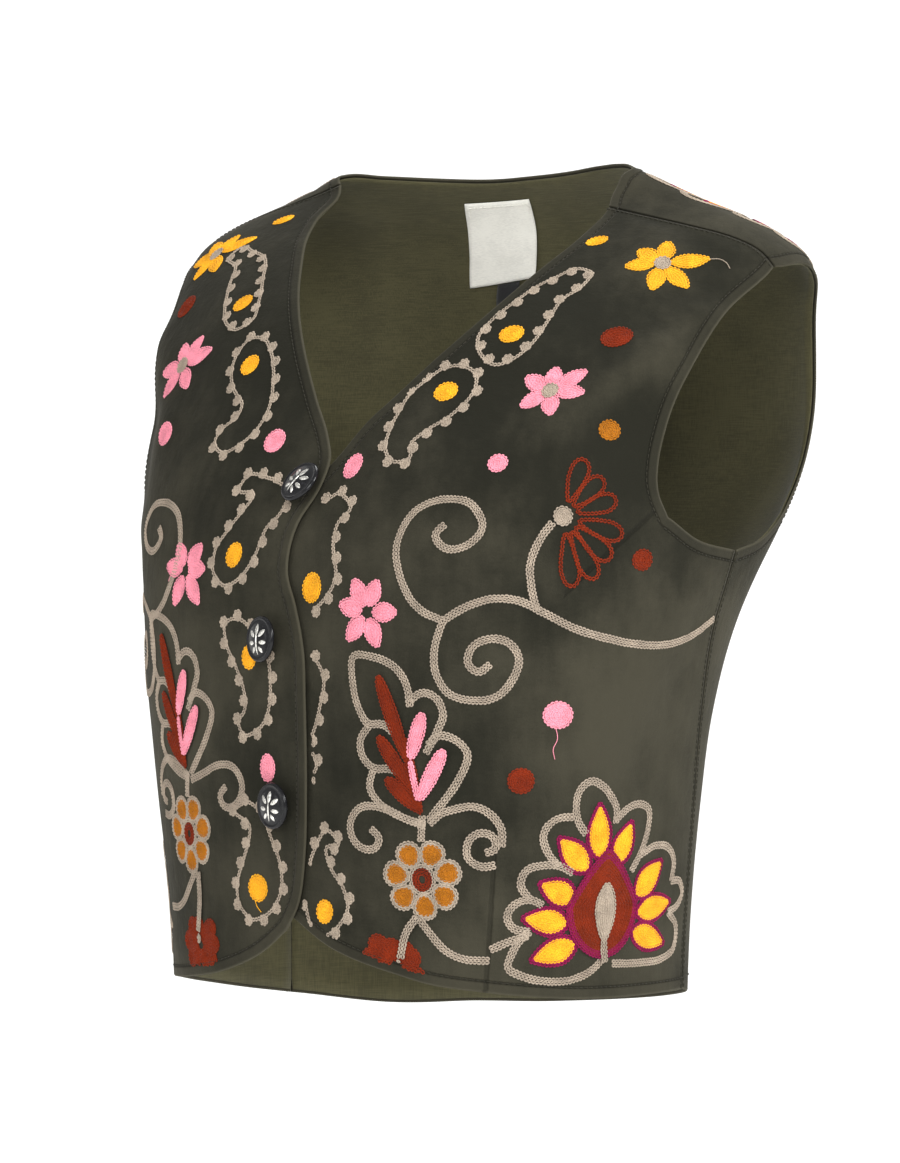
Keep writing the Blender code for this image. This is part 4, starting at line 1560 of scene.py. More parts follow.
Star = namedtuple("Star", "panel colour angle height width centre tips")
STARS = (
    Star("front_left", "yellow", -23.1, -0.0488, 9.5, 9,
         ((1, 17), (24, 7), (15, -15), (-3, -19), (-20, -2), (-15, 10))),
    Star("front_left", "pink", -43.2, -0.1160, 9.5, 9,
         ((1, 15), (18, 12), (19, -3), (3, -16), (-15, -9), (-15, 9))),
    Star("front_left", "pink", -66.4, -0.2261, 10, 0,
         ((-10, 17), (5, 17), (18, 0), (7, -18), (-12, -15), (-18, 4))),
    Star("front_right", "yellow", -162.0, -0.0440, 9.5, 9,
         ((2, 17), (22, 14), (14, -13), (-4, -19), (-20, -8), (-15, 9))),
    Star("front_right", "pink", -144.8, -0.1027, 9.5, 9,
         ((8, 18), (22, 10), (13, -13), (-9, -19), (-19, -5), (-8, 13))),
    Star("front_right", "pink", -122.4, -0.2068, 10, 0,
         ((12, 14), (-10, 14), (-19, 2), (17, 1), (-9, -19), (14, -18))),
)

# Beaded paisleys: the line's points in turn round the shape. An open one ends under an edge
Paisley = namedtuple("Paisley", "panel angle height closed points")
PAISLEYS = (
    Paisley(
        "front_left", -47.5, -0.0785, True,
        ((21, 33), (12, 37), (3, 31), (-7, 23), (-16, 12), (-24, 1), (-29, -11), (-23, -24),
         (-14, -29), (-6, -25), (2, -14), (6, 0), (10, 14), (19, 25)),
    ),
    Paisley(
        "front_left", -66.7, -0.1254, True,
        ((20, 21), (10, 26), (0, 24), (-7, 18), (-15, 9), (-18, -1), (-20, -12), (-19, -23),
         (-12, -30), (-3, -28), (-5, -20), (2, -12), (11, -5), (17, 2), (22, 12)),
    ),
    Paisley(
        "front_left", -81.5, -0.1907, False,
        ((-7, 22), (0, 26), (6, 23), (12, 17), (6, 10), (5, 0), (7, -8), (10, -18), (5, -28),
         (-4, -35)),
    ),
    Paisley(
        "front_left", -81.0, -0.2655, False,
        ((-10, 20), (-3, 18), (3, 13), (7, 5), (5, -5), (2, -16), (-2, -25)),
    ),
    Paisley("front_left", -81.5, -0.3060, False, ((-6, 10), (1, 8), (3, 2), (-2, -4))),
    Paisley(
        "front_left", -77.7, -0.3654, False,
        ((-15, -8), (-7, 20), (2, 30), (10, 23), (1, 21), (4, 11), (12, 2), (15, -9), (10, -17),
         (0, -23), (-11, -17), (-14, -8)),
    ),
    Paisley(
        "front_right", -142.4, -0.0637, True,
        ((-36, 24), (-33, 33), (-21, 30), (-5, 24), (7, 8), (16, -7), (20, -21), (12, -27),
         (1, -23), (-9, -10), (-16, 3), (-24, 18)),
    ),
    Paisley(
        "front_right", -120.8, -0.1151, True,
        ((-16, 30), (-6, 30), (4, 22), (10, 13), (14, 3), (17, -10), (14, -22), (6, -31),
         (-6, -36), (-14, -30), (-10, -21), (-4, -16), (-3, -9), (-11, -2), (-18, 6), (-21, 17)),
    ),
    Paisley(
        "front_right", -102.9, -0.1860, True,
        ((-18, 21), (-14, 29), (0, 28), (10, 25), (17, 20), (16, 10), (8, 1), (3, -13), (-5, -24),
         (-17, -29), (-26, -22), (-26, -10), (-19, 0), (-12, 9), (-6, 19)),
    ),
    Paisley(
        "front_right", -101.8, -0.2566, True,
        ((-16, 23), (-8, 26), (3, 21), (13, 12), (17, -1), (17, -15), (14, -25), (7, -31),
         (-1, -33), (-5, -27), (0, -19), (-2, -8), (-8, 3), (-15, 14)),
    ),
    Paisley(
        "front_right", -99.0, -0.3525, True,
        ((-16, 24), (-6, 29), (5, 22), (10, 11), (15, 0), (16, -13), (10, -24), (-6, -30),
         (-15, -22), (-15, -11), (-11, -2), (-7, 7), (-5, 17)),
    ),
)
BEAD = 6.4
BEAD_APART = 11.0
BEAD_ASIDE = 1.5
# Paisleys above this height have their beads inside the line
INNER_ABOVE = -0.08

SCROLLS = (
    ((-2, 48), (-7, 43), (-1, 36), (10, 37), (18, 46), (11, 58), (-4, 61), (-21, 54), (-28, 38),
     (-23, 19), (-13, 6), (0, 0)),
    ((0, 0), (12, 7), (25, 11), (38, 10), (50, 4), (66, -4), (84, -9), (105, -12), (127, -11),
     (143, -7), (158, 0)),
    ((0, 0), (-4, -12), (-4, -25), (3, -36), (14, -39), (27, -37), (35, -28), (38, -18), (32, -10),
     (22, -9), (14, -14), (13, -21), (18, -25), (24, -21)),
)

FAN_TIPS = ((11, 30), (21, 20), (28, 9), (31, -10), (25, -22), (17, -32), (5, -36))
FAN_WIDTH = 11.0
FAN_START = FAN_WIDTH / 2 - 2.6
FAN_STEM = ((-5, -3), (-11, -11), (-16, -23), (-16, -34), (-13, -47))

LEAF_LINES = (
    ((-16, 41), (-23, 46), (-31, 46), (-38, 56), (-41, 68), (-41, 79), (-28, 79), (-16, 74),
     (-10, 66), (-8, 55)),
    ((-8, 58), (-2, 62), (5, 60), (9, 52), (6, 43), (0, 32)),
    ((1, 36), (7, 41), (15, 39), (21, 32), (18, 22), (10, 10), (1, -1)),
    ((-31, 45), (-36, 38), (-35, 30), (-28, 24), (-20, 24), (-11, 21)),
    ((-29, 23), (-31, 15), (-26, 7), (-19, 3), (-10, -1), (-1, -3)),
)
POD_LIFTS = {"rust": FILL_LIFT * 1.5, "pink": FILL_LIFT * 3}
# Pods: base, tip and width
LEAF_PODS = (
    ("rust", (-9, 27), (-26, 71), 8),
    ("rust", (-6, 12), (-26, 41), 8),
    ("rust", (-3, 3), (-22, 20), 8),
    ("rust", (-3, 1), (-11, 40), 5),
    ("pink", (-8, 28), (-1, 53), 8),
    ("pink", (-4, 8), (10, 35), 8),
    ("pink", (-4, 8), (-8, 29), 3),
)
LEAF_SCROLLS = (
    ((-1, -4), (-13, 0), (-27, 5), (-37, 4), (-43, -3), (-42, -11), (-36, -16), (-29, -16),
     (-26, -11), (-31, -6)),
    ((1, -3), (7, 2), (16, 5), (24, 6), (32, 2), (37, -5), (37, -14)),
    ((34, -23), (27, -24), (20, -19), (21, -11), (27, -7), (33, -9), (34, -15), (29, -17)),
)

# The round flower: petals round a ring, with a seed in the middle
FLOWER_PETALS = 7
FLOWER_TURN = 67.0
FLOWER_RING = 8.0
FLOWER_REACH = 21.0
FLOWER_WIDTH = 13.5
FLOWER_SEED = ((7.2, "grey"), (5.2, "rust"), (3.3, "rust"))
SEED_NARROW = 0.85
BLOSSOM_WIDTH = 11
FLOWER_SECOND_STEM = ((-3, -20), (4, -28), (11, -35), (19, -39), (33, -40))

Blossom = namedtuple("Blossom", "stem middle lobes")
BLOSSOM_LEFT = Blossom(
    ((-4, -19), (-10, -28), (-13, -40)),
    (-15, -43),
    ((-29, -29), (-34, -38), (-30, -48), (-13, -55), (2, -53), (-2, -38), (-9, -31), (-20, -30)),
)
BLOSSOM_RIGHT = Blossom(
    ((8, -19), (8, -32), (5, -50)),
    (6, -57),
    ((-6, -44), (-13, -55), (-8, -67), (6, -72), (21, -67), (24, -55), (20, -44), (3, -42)),
)

LOTUS_LINES = (
    ((1, -21), (-7, -27), (-20, -31), (-33, -31), (-45, -28), (-52, -24), (-50, -17), (-45, -9),
     (-41, -6)),
    ((-41, -6), (-50, -4), (-53, 2), (-49, 8), (-42, 10), (-35, 7)),
    ((-42, 10), (-47, 18), (-44, 25), (-37, 27), (-29, 27), (-20, 23)),
    ((-28, 26), (-35, 35), (-37, 42), (-34, 48), (-28, 51), (-22, 51)),
    ((-14, 42), (-19, 48), (-21, 56), (-20, 64), (-15, 69), (-7, 66), (-1, 60), (3, 54), (3, 47)),
    ((3, 48), (10, 54), (18, 56), (26, 53), (27, 43), (23, 31), (17, 22)),
    ((23, 30), (35, 34), (46, 32), (52, 25), (51, 15)),
    ((51, 15), (60, 14), (64, 8), (59, 2), (50, -1)),
    ((50, -1), (59, -9), (57, -20), (47, -24), (29, -25), (7, -24)),
    ((-42, -8), (-52, -11), (-61, -15)),
)
# Petals: base, tip and width
LOTUS_PETALS = (
    ((-5, 27), (-8, 59), 16),
    ((5, 24), (15, 49), 16),
    ((20, 8), (42, 27), 17),
    ((21, 0), (53, 5), 16),
    ((18, -8), (49, -17), 16),
    ((-10, 22), (-30, 42), 16),
    ((-16, 8), (-39, 19), 16),
    ((-19, -3), (-47, 1), 16),
    ((-14, -12), (-42, -21), 16),
)

MOTIFS = {
    "front_left": {
        "scroll": Motif(-49.6, -0.2300),
        "fan": Motif(-34.6, -0.1784),
        "leaf": Motif(-50.9, -0.3274),
        "flower": Motif(-52.0, -0.3582),
        "lotus": Motif(-12.9, -0.3778),
    },
    "front_right": {
        "scroll": Motif(-137.0, -0.2330, True),
        "fan": Motif(-162.0, -0.1784, True),
        "leaf": Motif(-122.8, -0.3102),
        "flower": Motif(-124.5, -0.3421),
        "lotus": Motif(-166.0, -0.3778, True),
    },
}


def flowing(points, closed=False, step=0.7):
    """A smooth path through points, finely sampled."""
    points = np.array(points, dtype=float)
    if closed:
        points = np.concatenate([points[-2:], points, points[:3]])
    run = np.concatenate([[0.0], np.cumsum(np.linalg.norm(np.diff(points, axis=0), axis=1))])
    start, end = (run[2], run[-3]) if closed else (run[0], run[-1])
    wanted = np.linspace(start, end, max(4, int((end - start) / step)))
    return np.stack([smooth(run, points[:, k], wanted) for k in range(2)], axis=1)


def beside(path, distance):
    """A path at a distance to the left of a path."""
    along = np.gradient(path, axis=0)
    along /= np.linalg.norm(along, axis=1)[:, None]
    return path + distance * np.stack([-along[:, 1], along[:, 0]], axis=1)


def inside(places, outline):
    """Whether each place lies within a panel's outline."""
    found = np.zeros(len(places), dtype=bool)
    for (a, low), (b, high) in zip(outline, np.roll(outline, -1, axis=0)):
        crosses = (low > places[:, 1]) != (high > places[:, 1])
        if crosses.any():
            share = (places[:, 1] - low) / (high - low)
            found ^= crosses & (places[:, 0] < a + share * (b - a))
    return found


def outline_of(sheet):
    """A sheet's border as one ring of places."""
    after = dict(sheet.border())
    ring = [next(iter(after))]
    while after[ring[-1]] != ring[0]:
        ring.append(after[ring[-1]])
    return np.array(sheet.places)[ring]


class Embroidery:
    """Chain stitching over one panel, row by row."""

    def __init__(self, panel):
        self.panel = panel
        sheet, turned_edges, _ = panel_parts(panel, Rows(COARSE_STEP, False))
        self.outline = outline_of(sheet)
        self.edges = [surface(dense(edge)) for edge in turned_edges]
        self.chance = np.random.default_rng(11)
        self.rows = []
        self.grounds = []

    def row(self, motif, path, colour, lift=0.0):
        """One row of chain stitches along a path of a motif."""
        positions = paced(path, sizes().chain_pitch / MM)
        points = sampled(path, positions)
        points = points + self.chance.normal(0.0, JITTER, points.shape)
        points[:, 0] *= -1 if motif.flip else 1
        self.rows.append((motif, points, THREADS.index(colour), lift))

    def line(self, motif, points, colour="grey", double=False, closed=False, lift=0.0):
        """A line of one row, or of two rows side by side."""
        path = flowing(points, closed)
        if double:
            self.row(motif, beside(path, DOUBLE_APART), colour, lift)
            self.row(motif, beside(path, -DOUBLE_APART), colour, lift)
        else:
            self.row(motif, path, colour, lift)

    def ground(self, motif, rings, colour, lift=0.0):
        """Thread that shows between a filled shape's rows: rings from its edge to its middle."""
        rings = np.array(rings)
        rings[..., 0] *= -1 if motif.flip else 1
        self.grounds.append((motif, rings, THREADS.index(colour), lift + GROUND_LIFT))

    def pod(
        self, motif, base, tip, width, colour, rim=None, sharp=0.35, taper=0.3, lift=0.0, start=0.0
    ):
        """A filled leaf shape in rings from its edge in, with its rim in another thread."""
        rings = []
        base, tip = np.array(base, dtype=float), np.array(tip, dtype=float)
        along = (tip - base) / 2
        length = np.linalg.norm(along)
        along /= length
        aside = np.array((-along[1], along[0]))
        count = max(1, math.ceil(width / 2 / ROW_APART - 0.3))
        for ring in range(count):
            inset = (ring + 0.5) * width / 2 / count
            if width / 2 - inset < start:
                break
            turn = np.linspace(0, math.tau, 60)
            narrowing = 1 - taper * (1 - np.cos(turn)) / 2
            bulge = np.sin(turn) * np.abs(np.sin(turn)) ** sharp * narrowing
            bulge /= bulge.max()
            reach = max(SHORTEST_RING, length - inset * TIP_INSET) * np.cos(turn)
            middle = (base + tip) / 2
            spread = (width / 2 - inset) * bulge
            path = middle + reach[:, None] * along + spread[:, None] * aside
            self.row(motif, path, rim if rim and ring == 0 else colour, lift)
            rings.append(path[:-1:3])
        if start:
            return
        first = 1 if rim and len(rings) > 1 else 0
        if first:
            self.ground(motif, rings[:2], rim, lift)
        self.ground(motif, rings[first:] + [rings[-1] * 0.1 + middle * 0.9], colour, lift)

    def dot(self, motif, centre, width, length, turn, colour, lift=0.0):
        """A filled oval."""
        half = max(width, length) / 2
        angle = math.radians(turn if width >= length else turn + 90)
        reach = half * np.array((math.cos(angle), math.sin(angle)))
        base, tip = np.array(centre, dtype=float) - reach, np.array(centre, dtype=float) + reach
        self.pod(motif, base, tip, min(width, length), colour, None, 0.0, 0.0, lift)

    def beads(self, motif, points, closed, inner):
        """Beads along a line, to its inner or its outer side."""
        path = flowing(points, closed)
        ahead = np.roll(path, -1, axis=0)
        winding = np.sign((path[:, 0] * ahead[:, 1] - path[:, 1] * ahead[:, 0]).sum())
        path = beside(path, BEAD_ASIDE * winding * (1 if inner else -1))
        positions = paced(path, BEAD_APART)
        for place in sampled(path, positions[:-1] if closed else positions):
            self.dot(motif, place, BEAD, BEAD, 0, "grey")

    def placed(self, pieces):
        """Where the points of rows and grounds come to lie, and which stay on the panel."""
        points = np.concatenate([points.reshape(-1, 2) for _, points, _, _ in pieces]) * MM
        counts = [points.size // 2 for _, points, _, _ in pieces]
        anchors = np.repeat([motif[:2] for motif, _, _, _ in pieces], counts, axis=0)
        if self.panel == "front_right":
            anchors[:, 0] += 360.0
        places = walk(anchors, points[:, 0], points[:, 1])
        kept = inside(places, self.outline)
        lifts = np.repeat([lift for _, _, _, lift in pieces], counts)
        at = cloth(places, face_of(self.panel, places) + lifts)
        kept &= shortest(at, self.edges) > EDGE_KEPT
        if self.panel == "front_left":
            kept &= covered_reach(places) > COVER_CLEAR
        return at, kept, frame_at(places)[3], np.cumsum([0] + counts)

    def make(self, name):
        """The piece that holds every row, without what lies off the panel or under an edge."""
        at, kept, normals, starts = self.placed(self.rows + self.grounds)
        width, height = sizes().chain_width, sizes().chain_height
        stitching = Stitching(width, height, CHAIN_STRANDS, CHAIN_THREAD, CHAIN_SIDES)
        for k, (_, _, colour, _) in enumerate(self.rows):
            numbers = np.arange(starts[k], starts[k + 1] - 1)
            numbers = numbers[kept[numbers] & kept[numbers + 1]]
            if len(numbers):
                stitching.sew(at[numbers], at[numbers + 1], normals[numbers], colour)
        for k, (motif, rings, colour, _) in enumerate(self.grounds):
            own = slice(starts[len(self.rows) + k], starts[len(self.rows) + k + 1])
            count = rings.shape[1]
            faces = []
            for low in range(0, (len(rings) - 1) * count, count):
                for a in range(low, low + count):
                    b = low + (a + 1) % count
                    cell = (a, b, b + count, a + count)
                    if kept[own][list(cell)].all():
                        faces.append(cell[::-1] if motif.flip else cell)
            stitching.patch(at[own], faces, colour)
        piece = stitching.make(name, [thread(colour) for colour in THREADS])
        return seat(piece, "thread")


def on_fronts(prefix):
    """Each front's name, motifs and stitching in turn, made into a piece when its rows are in."""
    for panel, motifs in MOTIFS.items():
        work = Embroidery(panel)
        yield panel, motifs, work
        work.make(prefix + panel)


class WAISTCOAT_OT_dots(bpy.types.Operator):
    """Embroider the dots and the star flowers"""

    bl_idname = "waistcoat.dots"
    bl_label = "Dots and stars"

    def execute(self, context):
        for panel, _, work in on_fronts("dots_and_stars_"):
            for dot in DOTS:
                if dot.panel == panel:
                    motif = Motif(dot.angle, dot.height)
                    work.dot(motif, (0, 0), dot.width, dot.length, dot.turn, dot.colour)
            for star in STARS:
                if star.panel == panel:
                    motif = Motif(star.angle, star.height)
                    for tip in star.tips:
                        base = 0.12 * np.array(tip)
                        work.pod(motif, base, tip, star.width, star.colour, sharp=0.8, taper=-0.3)
                    if star.centre:
                        work.dot(motif, (0, 0), star.centre, star.centre, 0, "grey", FILL_LIFT)
        return {"FINISHED"}


class WAISTCOAT_OT_paisleys(bpy.types.Operator):
    """Embroider the beaded paisleys"""

    bl_idname = "waistcoat.paisleys"
    bl_label = "Paisleys"

    def execute(self, context):
        for panel, _, work in on_fronts("paisleys_"):
            for paisley in PAISLEYS:
                if paisley.panel == panel:
                    motif = Motif(paisley.angle, paisley.height)
                    work.line(motif, paisley.points, closed=paisley.closed)
                    work.beads(motif, paisley.points, paisley.closed, paisley.height > INNER_ABOVE)
        return {"FINISHED"}


class WAISTCOAT_OT_scrolls(bpy.types.Operator):
    """Embroider the great scroll and the fan flower on it"""

    bl_idname = "waistcoat.scrolls"
    bl_label = "Scrolls and fans"

    def execute(self, context):
        for _, motifs, work in on_fronts("scrolls_"):
            for points in SCROLLS:
                work.line(motifs["scroll"], points, double=True)
            fan = motifs["fan"]
            work.line(fan, FAN_STEM, double=True)
            for tip in FAN_TIPS:
                base = 0.20 * np.array(tip)
                work.pod(fan, base, tip, FAN_WIDTH, "rust", taper=0.7, sharp=0.0, start=FAN_START)
            work.dot(fan, (0, 0), 10, 10, 0, "grey", FILL_LIFT)
        return {"FINISHED"}


class WAISTCOAT_OT_leaves(bpy.types.Operator):
    """Embroider the lobed leaf with its pods and scrolls"""

    bl_idname = "waistcoat.leaves"
    bl_label = "Leaves"

    def execute(self, context):
        for panel, motifs, work in on_fronts("leaves_"):
            leaf = motifs["leaf"]
            for colour, base, tip, width in LEAF_PODS:
                lift = POD_LIFTS[colour]
                work.pod(leaf, base, tip, width, colour, sharp=0.0, taper=0.25, lift=lift)
            for points in LEAF_LINES:
                work.line(leaf, points, double=True)
            scrolls = leaf._replace(flip=panel == "front_right")
            for points in LEAF_SCROLLS:
                work.line(scrolls, points, double=True)
        return {"FINISHED"}


def flower_rows(work, motif, blossom, flip):
    """The round flower, its two stems and the blossom under it."""
    work.line(motif._replace(flip=flip), FLOWER_SECOND_STEM, double=True)
    for k in range(FLOWER_PETALS):
        turn = math.radians(FLOWER_TURN + 360.0 * k / FLOWER_PETALS)
        way = np.array((math.cos(turn), math.sin(turn)))
        base, tip = way * (FLOWER_RING - 2), way * FLOWER_REACH
        work.pod(motif, base, tip, FLOWER_WIDTH, "mustard", "grey", 0.0, 0.35)
    work.line(motif, ((0, 19), (1, 32)), double=True)
    turns = np.linspace(0, math.tau, 9)[:-1]
    for radius, colour in FLOWER_SEED:
        ring = [(radius * SEED_NARROW * math.cos(a), radius * math.sin(a)) for a in turns]
        work.line(motif, ring, colour, closed=True)
    middle = np.array(blossom.middle, dtype=float)
    for tip in blossom.lobes:
        base = middle + 0.1 * (np.array(tip) - middle)
        work.pod(motif, base, tip, BLOSSOM_WIDTH, "rust", sharp=0.0, taper=0.3)
    work.pod(motif, blossom.stem[-1], middle, 4, "grey", lift=SMALL_FLOWER_LIFT)
    work.line(motif, blossom.stem, double=True, lift=SMALL_FLOWER_LIFT)


class WAISTCOAT_OT_flowers(bpy.types.Operator):
    """Embroider the round flowers with their stems and blossoms"""

    bl_idname = "waistcoat.flowers"
    bl_label = "Round flowers"

    def execute(self, context):
        for panel, motifs, work in on_fronts("flowers_"):
            right = panel == "front_right"
            blossom = BLOSSOM_RIGHT if right else BLOSSOM_LEFT
            flower_rows(work, motifs["flower"], blossom, right)
        return {"FINISHED"}


LOTUS_BACK = (Motif(16.4, -0.0357), Motif(163.6, -0.0357, True))

# The lotus's rings from its edge in: two magenta, then rust
LOTUS_HALF_WIDTH = 23.0
LOTUS_TOP = 35.0
LOTUS_BOTTOM = -21.0
LOTUS_WIDEST = 6.0
LOTUS_TIP_INSET = 1.6
LOTUS_TIP_POWER = 0.72
LOTUS_LIFT = FILL_LIFT * 1.5
SPINDLE_LIFT = FILL_LIFT * 3
SPINDLE = ((0, -13), (0, 18), 13)
SPINDLE_STEM = ((0, -8), (0, -16), (1, -23))


def lotus_ring(inset):
    """A teardrop, rounded below and pointed above, at a distance in from the lotus's edge."""
    turn = np.linspace(0, math.tau, 90)
    up = np.cos(turn)
    rise = (LOTUS_TOP - LOTUS_WIDEST - LOTUS_TIP_INSET * inset) * np.clip(up, 0, 1)
    fall = (LOTUS_WIDEST - LOTUS_BOTTOM - inset) * np.clip(-up, 0, 1)
    narrow = np.where(up > 0, (1 - up) ** LOTUS_TIP_POWER, np.sqrt(1 - up**2))
    aside = np.sign(np.sin(turn)) * (LOTUS_HALF_WIDTH - inset) * narrow
    return np.stack([aside, LOTUS_WIDEST + rise - fall], axis=1)


def lotus_rows(work, lotus):
    """A lotus: petals round a teardrop with a spindle in it, and lobed lines about them."""
    for base, tip, width in LOTUS_PETALS:
        work.pod(lotus, base, tip, width, "yellow", "magenta", 0.75, -0.9)
    count = int(LOTUS_HALF_WIDTH / ROW_APART)
    for ring in range(count):
        colour = "magenta" if ring < 2 else "rust"
        work.row(lotus, lotus_ring((ring + 0.5) * ROW_APART), colour, LOTUS_LIFT)
    rings = [lotus_ring((ring + 0.5) * ROW_APART)[:-1:2] for ring in range(count)]
    work.ground(lotus, rings, "rust", LOTUS_LIFT)
    work.pod(lotus, *SPINDLE, "grey", sharp=0.6, taper=0.3, lift=SPINDLE_LIFT)
    work.line(lotus, SPINDLE_STEM, double=True, lift=SPINDLE_LIFT)
    for points in LOTUS_LINES:
        work.line(lotus, points, double=True)


class WAISTCOAT_OT_lotuses(bpy.types.Operator):
    """Embroider the lotus by each side seam and behind each shoulder"""

    bl_idname = "waistcoat.lotuses"
    bl_label = "Lotuses"

    def execute(self, context):
        for _, motifs, work in on_fronts("lotus_"):
            lotus_rows(work, motifs["lotus"])
        work = Embroidery("back")
        for lotus in LOTUS_BACK:
            lotus_rows(work, lotus)
        work.make("lotus_back")
        return {"FINISHED"}


# Loose ends of thread: panel, colour, place and points
LOOSE = (
    ("front_left", "grey", Motif(-23.1, -0.0488), ((23, 6), (28, 6), (32, 3), (34, -1))),
    ("front_left", "pink", Motif(-26.4, -0.2762), ((-1, -6), (0, -12), (-2, -17), (-1, -22))),
    ("front_right", "yellow", Motif(-99.3, -0.3667), ((-2, -6), (-1, -9), (2, -12))),
    ("front_right", "pink", Motif(-122.4, -0.2068), ((-9, -4), (-13, -3), (-15, -6))),
)
LOOSE_STRANDS = (((-0.03, 0.0, 0.55), (1.03, 0.0, 0.55)),)
LOOSE_PITCH = 1.0


class WAISTCOAT_OT_loose_threads(bpy.types.Operator):
    """Leave the loose ends of thread"""

    bl_idname = "waistcoat.loose_threads"
    bl_label = "Loose threads"

    def execute(self, context):
        width = sizes().stitch_width
        ends = Stitching(width * 0.7, width, LOOSE_STRANDS, 0.5, 5)
        for panel, colour, motif, points in LOOSE:
            path = flowing(points)
            path = sampled(path, paced(path, LOOSE_PITCH)) * MM
            anchors = np.tile(motif[:2], (len(path), 1))
            if panel == "front_right":
                anchors[:, 0] += 360.0
            places = walk(anchors, path[:, 0], path[:, 1])
            at = cloth(places, face_of(panel, places))
            ends.sew(at[:-1], at[1:], frame_at(places)[3][:-1], THREADS.index(colour))
        seat(ends.make("loose_threads", [thread(colour) for colour in THREADS]), "thread")
        return {"FINISHED"}


# The view: degrees round the waistcoat and up, the middle of the picture and the lens
VIEW_TURN = 33.0
VIEW_RISE = 1.17
VIEW_CENTRE = (-0.0154, -0.0100, -0.2141)
LENS = 152.9

# The floor and the backdrop that curves up behind it
FLOOR_HALF_WIDTH = 6.0
FLOOR_FRONT = -5.0
FLOOR_BACK = 2.2
BACKDROP_RADIUS = 1.2
BACKDROP_TOP = 4.0
STAGE_WHITE = (0.93, 0.93, 0.92)
STAGE_GLOW = 0.24
BACKDROP_STEPS = 12
ROOM_LIGHT = 0.52
FARTHEST = 50.0

# Soft lights: degrees round from the view, degrees up, distance, size and power
Light = namedtuple("Light", "name turn rise distance size power")
LIGHTS = (
    Light("key", 46.0, 36.0, 2.3, 0.9, 42.0),
    Light("front", -6.0, 22.0, 2.7, 1.2, 34.0),
    Light("fill", -62.0, 14.0, 2.6, 1.8, 12.0),
    Light("top", 150.0, 68.0, 2.2, 1.2, 22.0),
)


def around(turn, rise, distance):
    """A point at a distance from the picture's middle."""
    turn, rise = math.radians(turn), math.radians(rise)
    x, y = math.sin(turn) * math.cos(rise), -math.cos(turn) * math.cos(rise)
    return Vector(VIEW_CENTRE) + Vector((x, y, math.sin(rise))) * distance


def aim(thing, place):
    thing.location = place
    thing.rotation_euler = (Vector(VIEW_CENTRE) - place).to_track_quat("-Z", "Y").to_euler()


def stage_finish():
    finish = Finish("stage", Roughness=0.9, Specular_IOR_Level=0.1, Emission_Strength=STAGE_GLOW)
    finish.set(Emission_Color=(1.0, 1.0, 1.0))
    cloud = finish.noise(1.4, 3.0)
    white = shaded(STAGE_WHITE, 1.0)
    finish.set(Base_Color=finish.mix(cloud.ramp(0.3, 0.7), shaded(white, 0.985), white))
    return finish.material


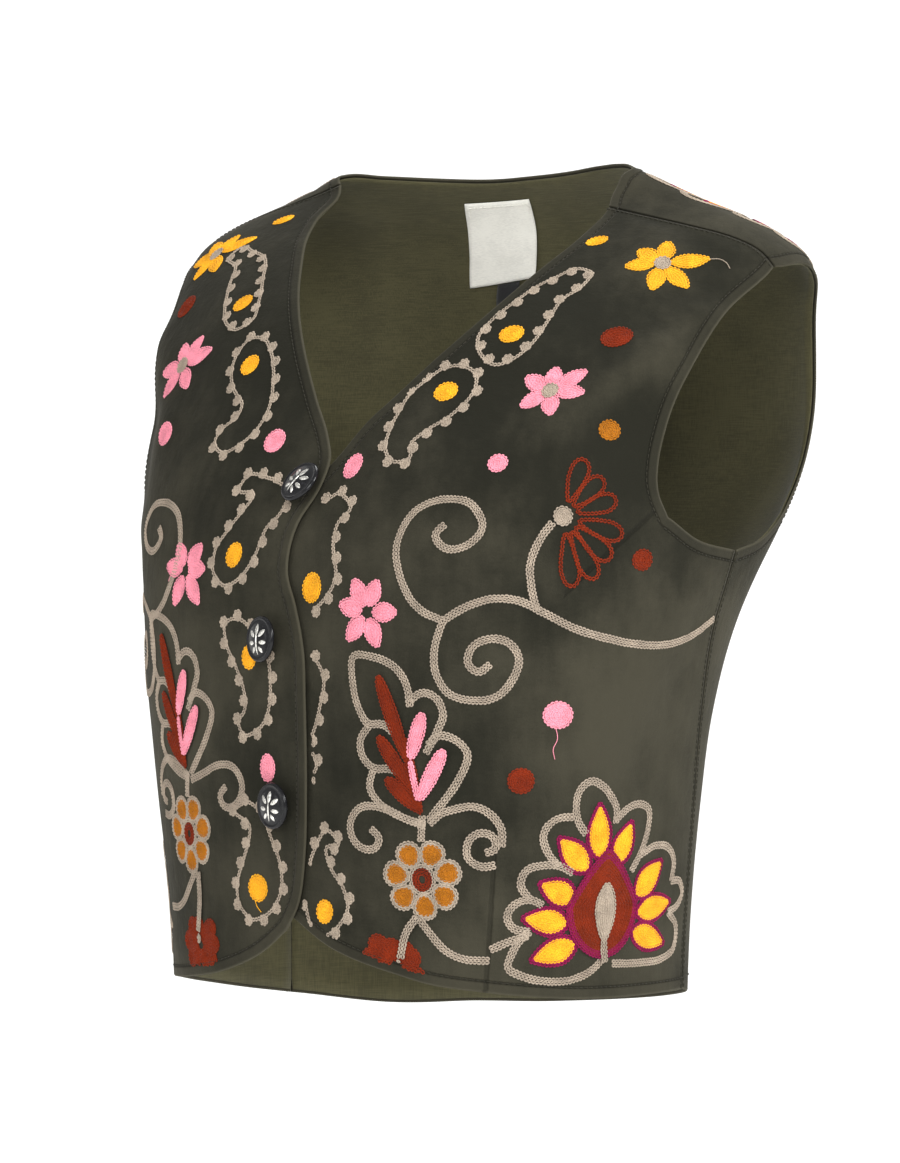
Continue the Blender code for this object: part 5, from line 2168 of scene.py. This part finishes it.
class WAISTCOAT_OT_stage(bpy.types.Operator):
    """Make the floor, the soft lights and the camera"""

    bl_idname = "waistcoat.stage"
    bl_label = "Stage"

    def execute(self, context):
        floor = sizes().floor_height
        profile = [(FLOOR_FRONT, floor)]
        for k in range(BACKDROP_STEPS + 1):
            turn = math.pi / 2 * k / BACKDROP_STEPS
            forward = FLOOR_BACK + BACKDROP_RADIUS * math.sin(turn)
            profile.append((forward, floor + BACKDROP_RADIUS * (1 - math.cos(turn))))
        profile.append((FLOOR_BACK + BACKDROP_RADIUS, BACKDROP_TOP))
        points, faces = [], []
        for forward, height in profile:
            for side in (-FLOOR_HALF_WIDTH, FLOOR_HALF_WIDTH):
                turn = math.radians(VIEW_TURN)
                x = side * math.cos(turn) - forward * math.sin(turn)
                y = side * math.sin(turn) + forward * math.cos(turn)
                points.append((x, y, height))
        for k in range(len(profile) - 1):
            faces.append((2 * k, 2 * k + 1, 2 * k + 3, 2 * k + 2))
        lay("backdrop", points, faces, [stage_finish()])
        for light in LIGHTS:
            lamp = bpy.data.lights.new(light.name, "AREA")
            lamp.shape = "DISK"
            lamp.size = light.size
            lamp.energy = light.power
            thing = bpy.data.objects.new(light.name, lamp)
            context.scene.collection.objects.link(thing)
            aim(thing, around(VIEW_TURN + light.turn, light.rise, light.distance))
        world = bpy.data.worlds.new("soft_room")
        world.use_nodes = True
        sky = world.node_tree.nodes["Background"].inputs
        sky["Color"].default_value = (1.0, 1.0, 1.0, 1.0)
        sky["Strength"].default_value = ROOM_LIGHT
        context.scene.world = world
        context.scene.view_settings.view_transform = "Standard"
        camera = bpy.data.objects.new("camera", bpy.data.cameras.new("camera"))
        camera.data.lens = LENS
        camera.data.clip_end = FARTHEST
        context.scene.collection.objects.link(camera)
        aim(camera, around(VIEW_TURN, VIEW_RISE, sizes().camera_distance))
        context.scene.camera = camera
        return {"FINISHED"}


class WAISTCOAT_PT_panel(bpy.types.Panel):
    """The waistcoat's settings and its operators"""

    bl_idname = "WAISTCOAT_PT_panel"
    bl_label = "Waistcoat"
    bl_space_type = "VIEW_3D"
    bl_region_type = "UI"
    bl_category = "Waistcoat"

    def draw(self, context):
        for group in (context.scene.waistcoat_sizes, context.scene.waistcoat_colours):
            box = self.layout.box()
            for name in group.__annotations__:
                box.prop(group, name)
        for operator in OPERATORS:
            self.layout.operator(operator.bl_idname)


OPERATORS = (
    WAISTCOAT_OT_fronts,
    WAISTCOAT_OT_back,
    WAISTCOAT_OT_linings,
    WAISTCOAT_OT_topstitching,
    WAISTCOAT_OT_label,
    WAISTCOAT_OT_buttons,
    WAISTCOAT_OT_dots,
    WAISTCOAT_OT_paisleys,
    WAISTCOAT_OT_scrolls,
    WAISTCOAT_OT_leaves,
    WAISTCOAT_OT_flowers,
    WAISTCOAT_OT_lotuses,
    WAISTCOAT_OT_loose_threads,
    WAISTCOAT_OT_stage,
)
CLASSES = (WaistcoatColours, WaistcoatSizes, *OPERATORS, WAISTCOAT_PT_panel)


def register():
    for item in CLASSES:
        bpy.utils.register_class(item)
    bpy.types.Scene.waistcoat_colours = bpy.props.PointerProperty(type=WaistcoatColours)
    bpy.types.Scene.waistcoat_sizes = bpy.props.PointerProperty(type=WaistcoatSizes)


def unregister():
    del bpy.types.Scene.waistcoat_sizes
    del bpy.types.Scene.waistcoat_colours
    for item in reversed(CLASSES):
        bpy.utils.unregister_class(item)


def main():
    register()
    for operator in OPERATORS:
        group, name = operator.bl_idname.split(".")
        getattr(getattr(bpy.ops, group), name)()


if __name__ == "__main__":
    main()
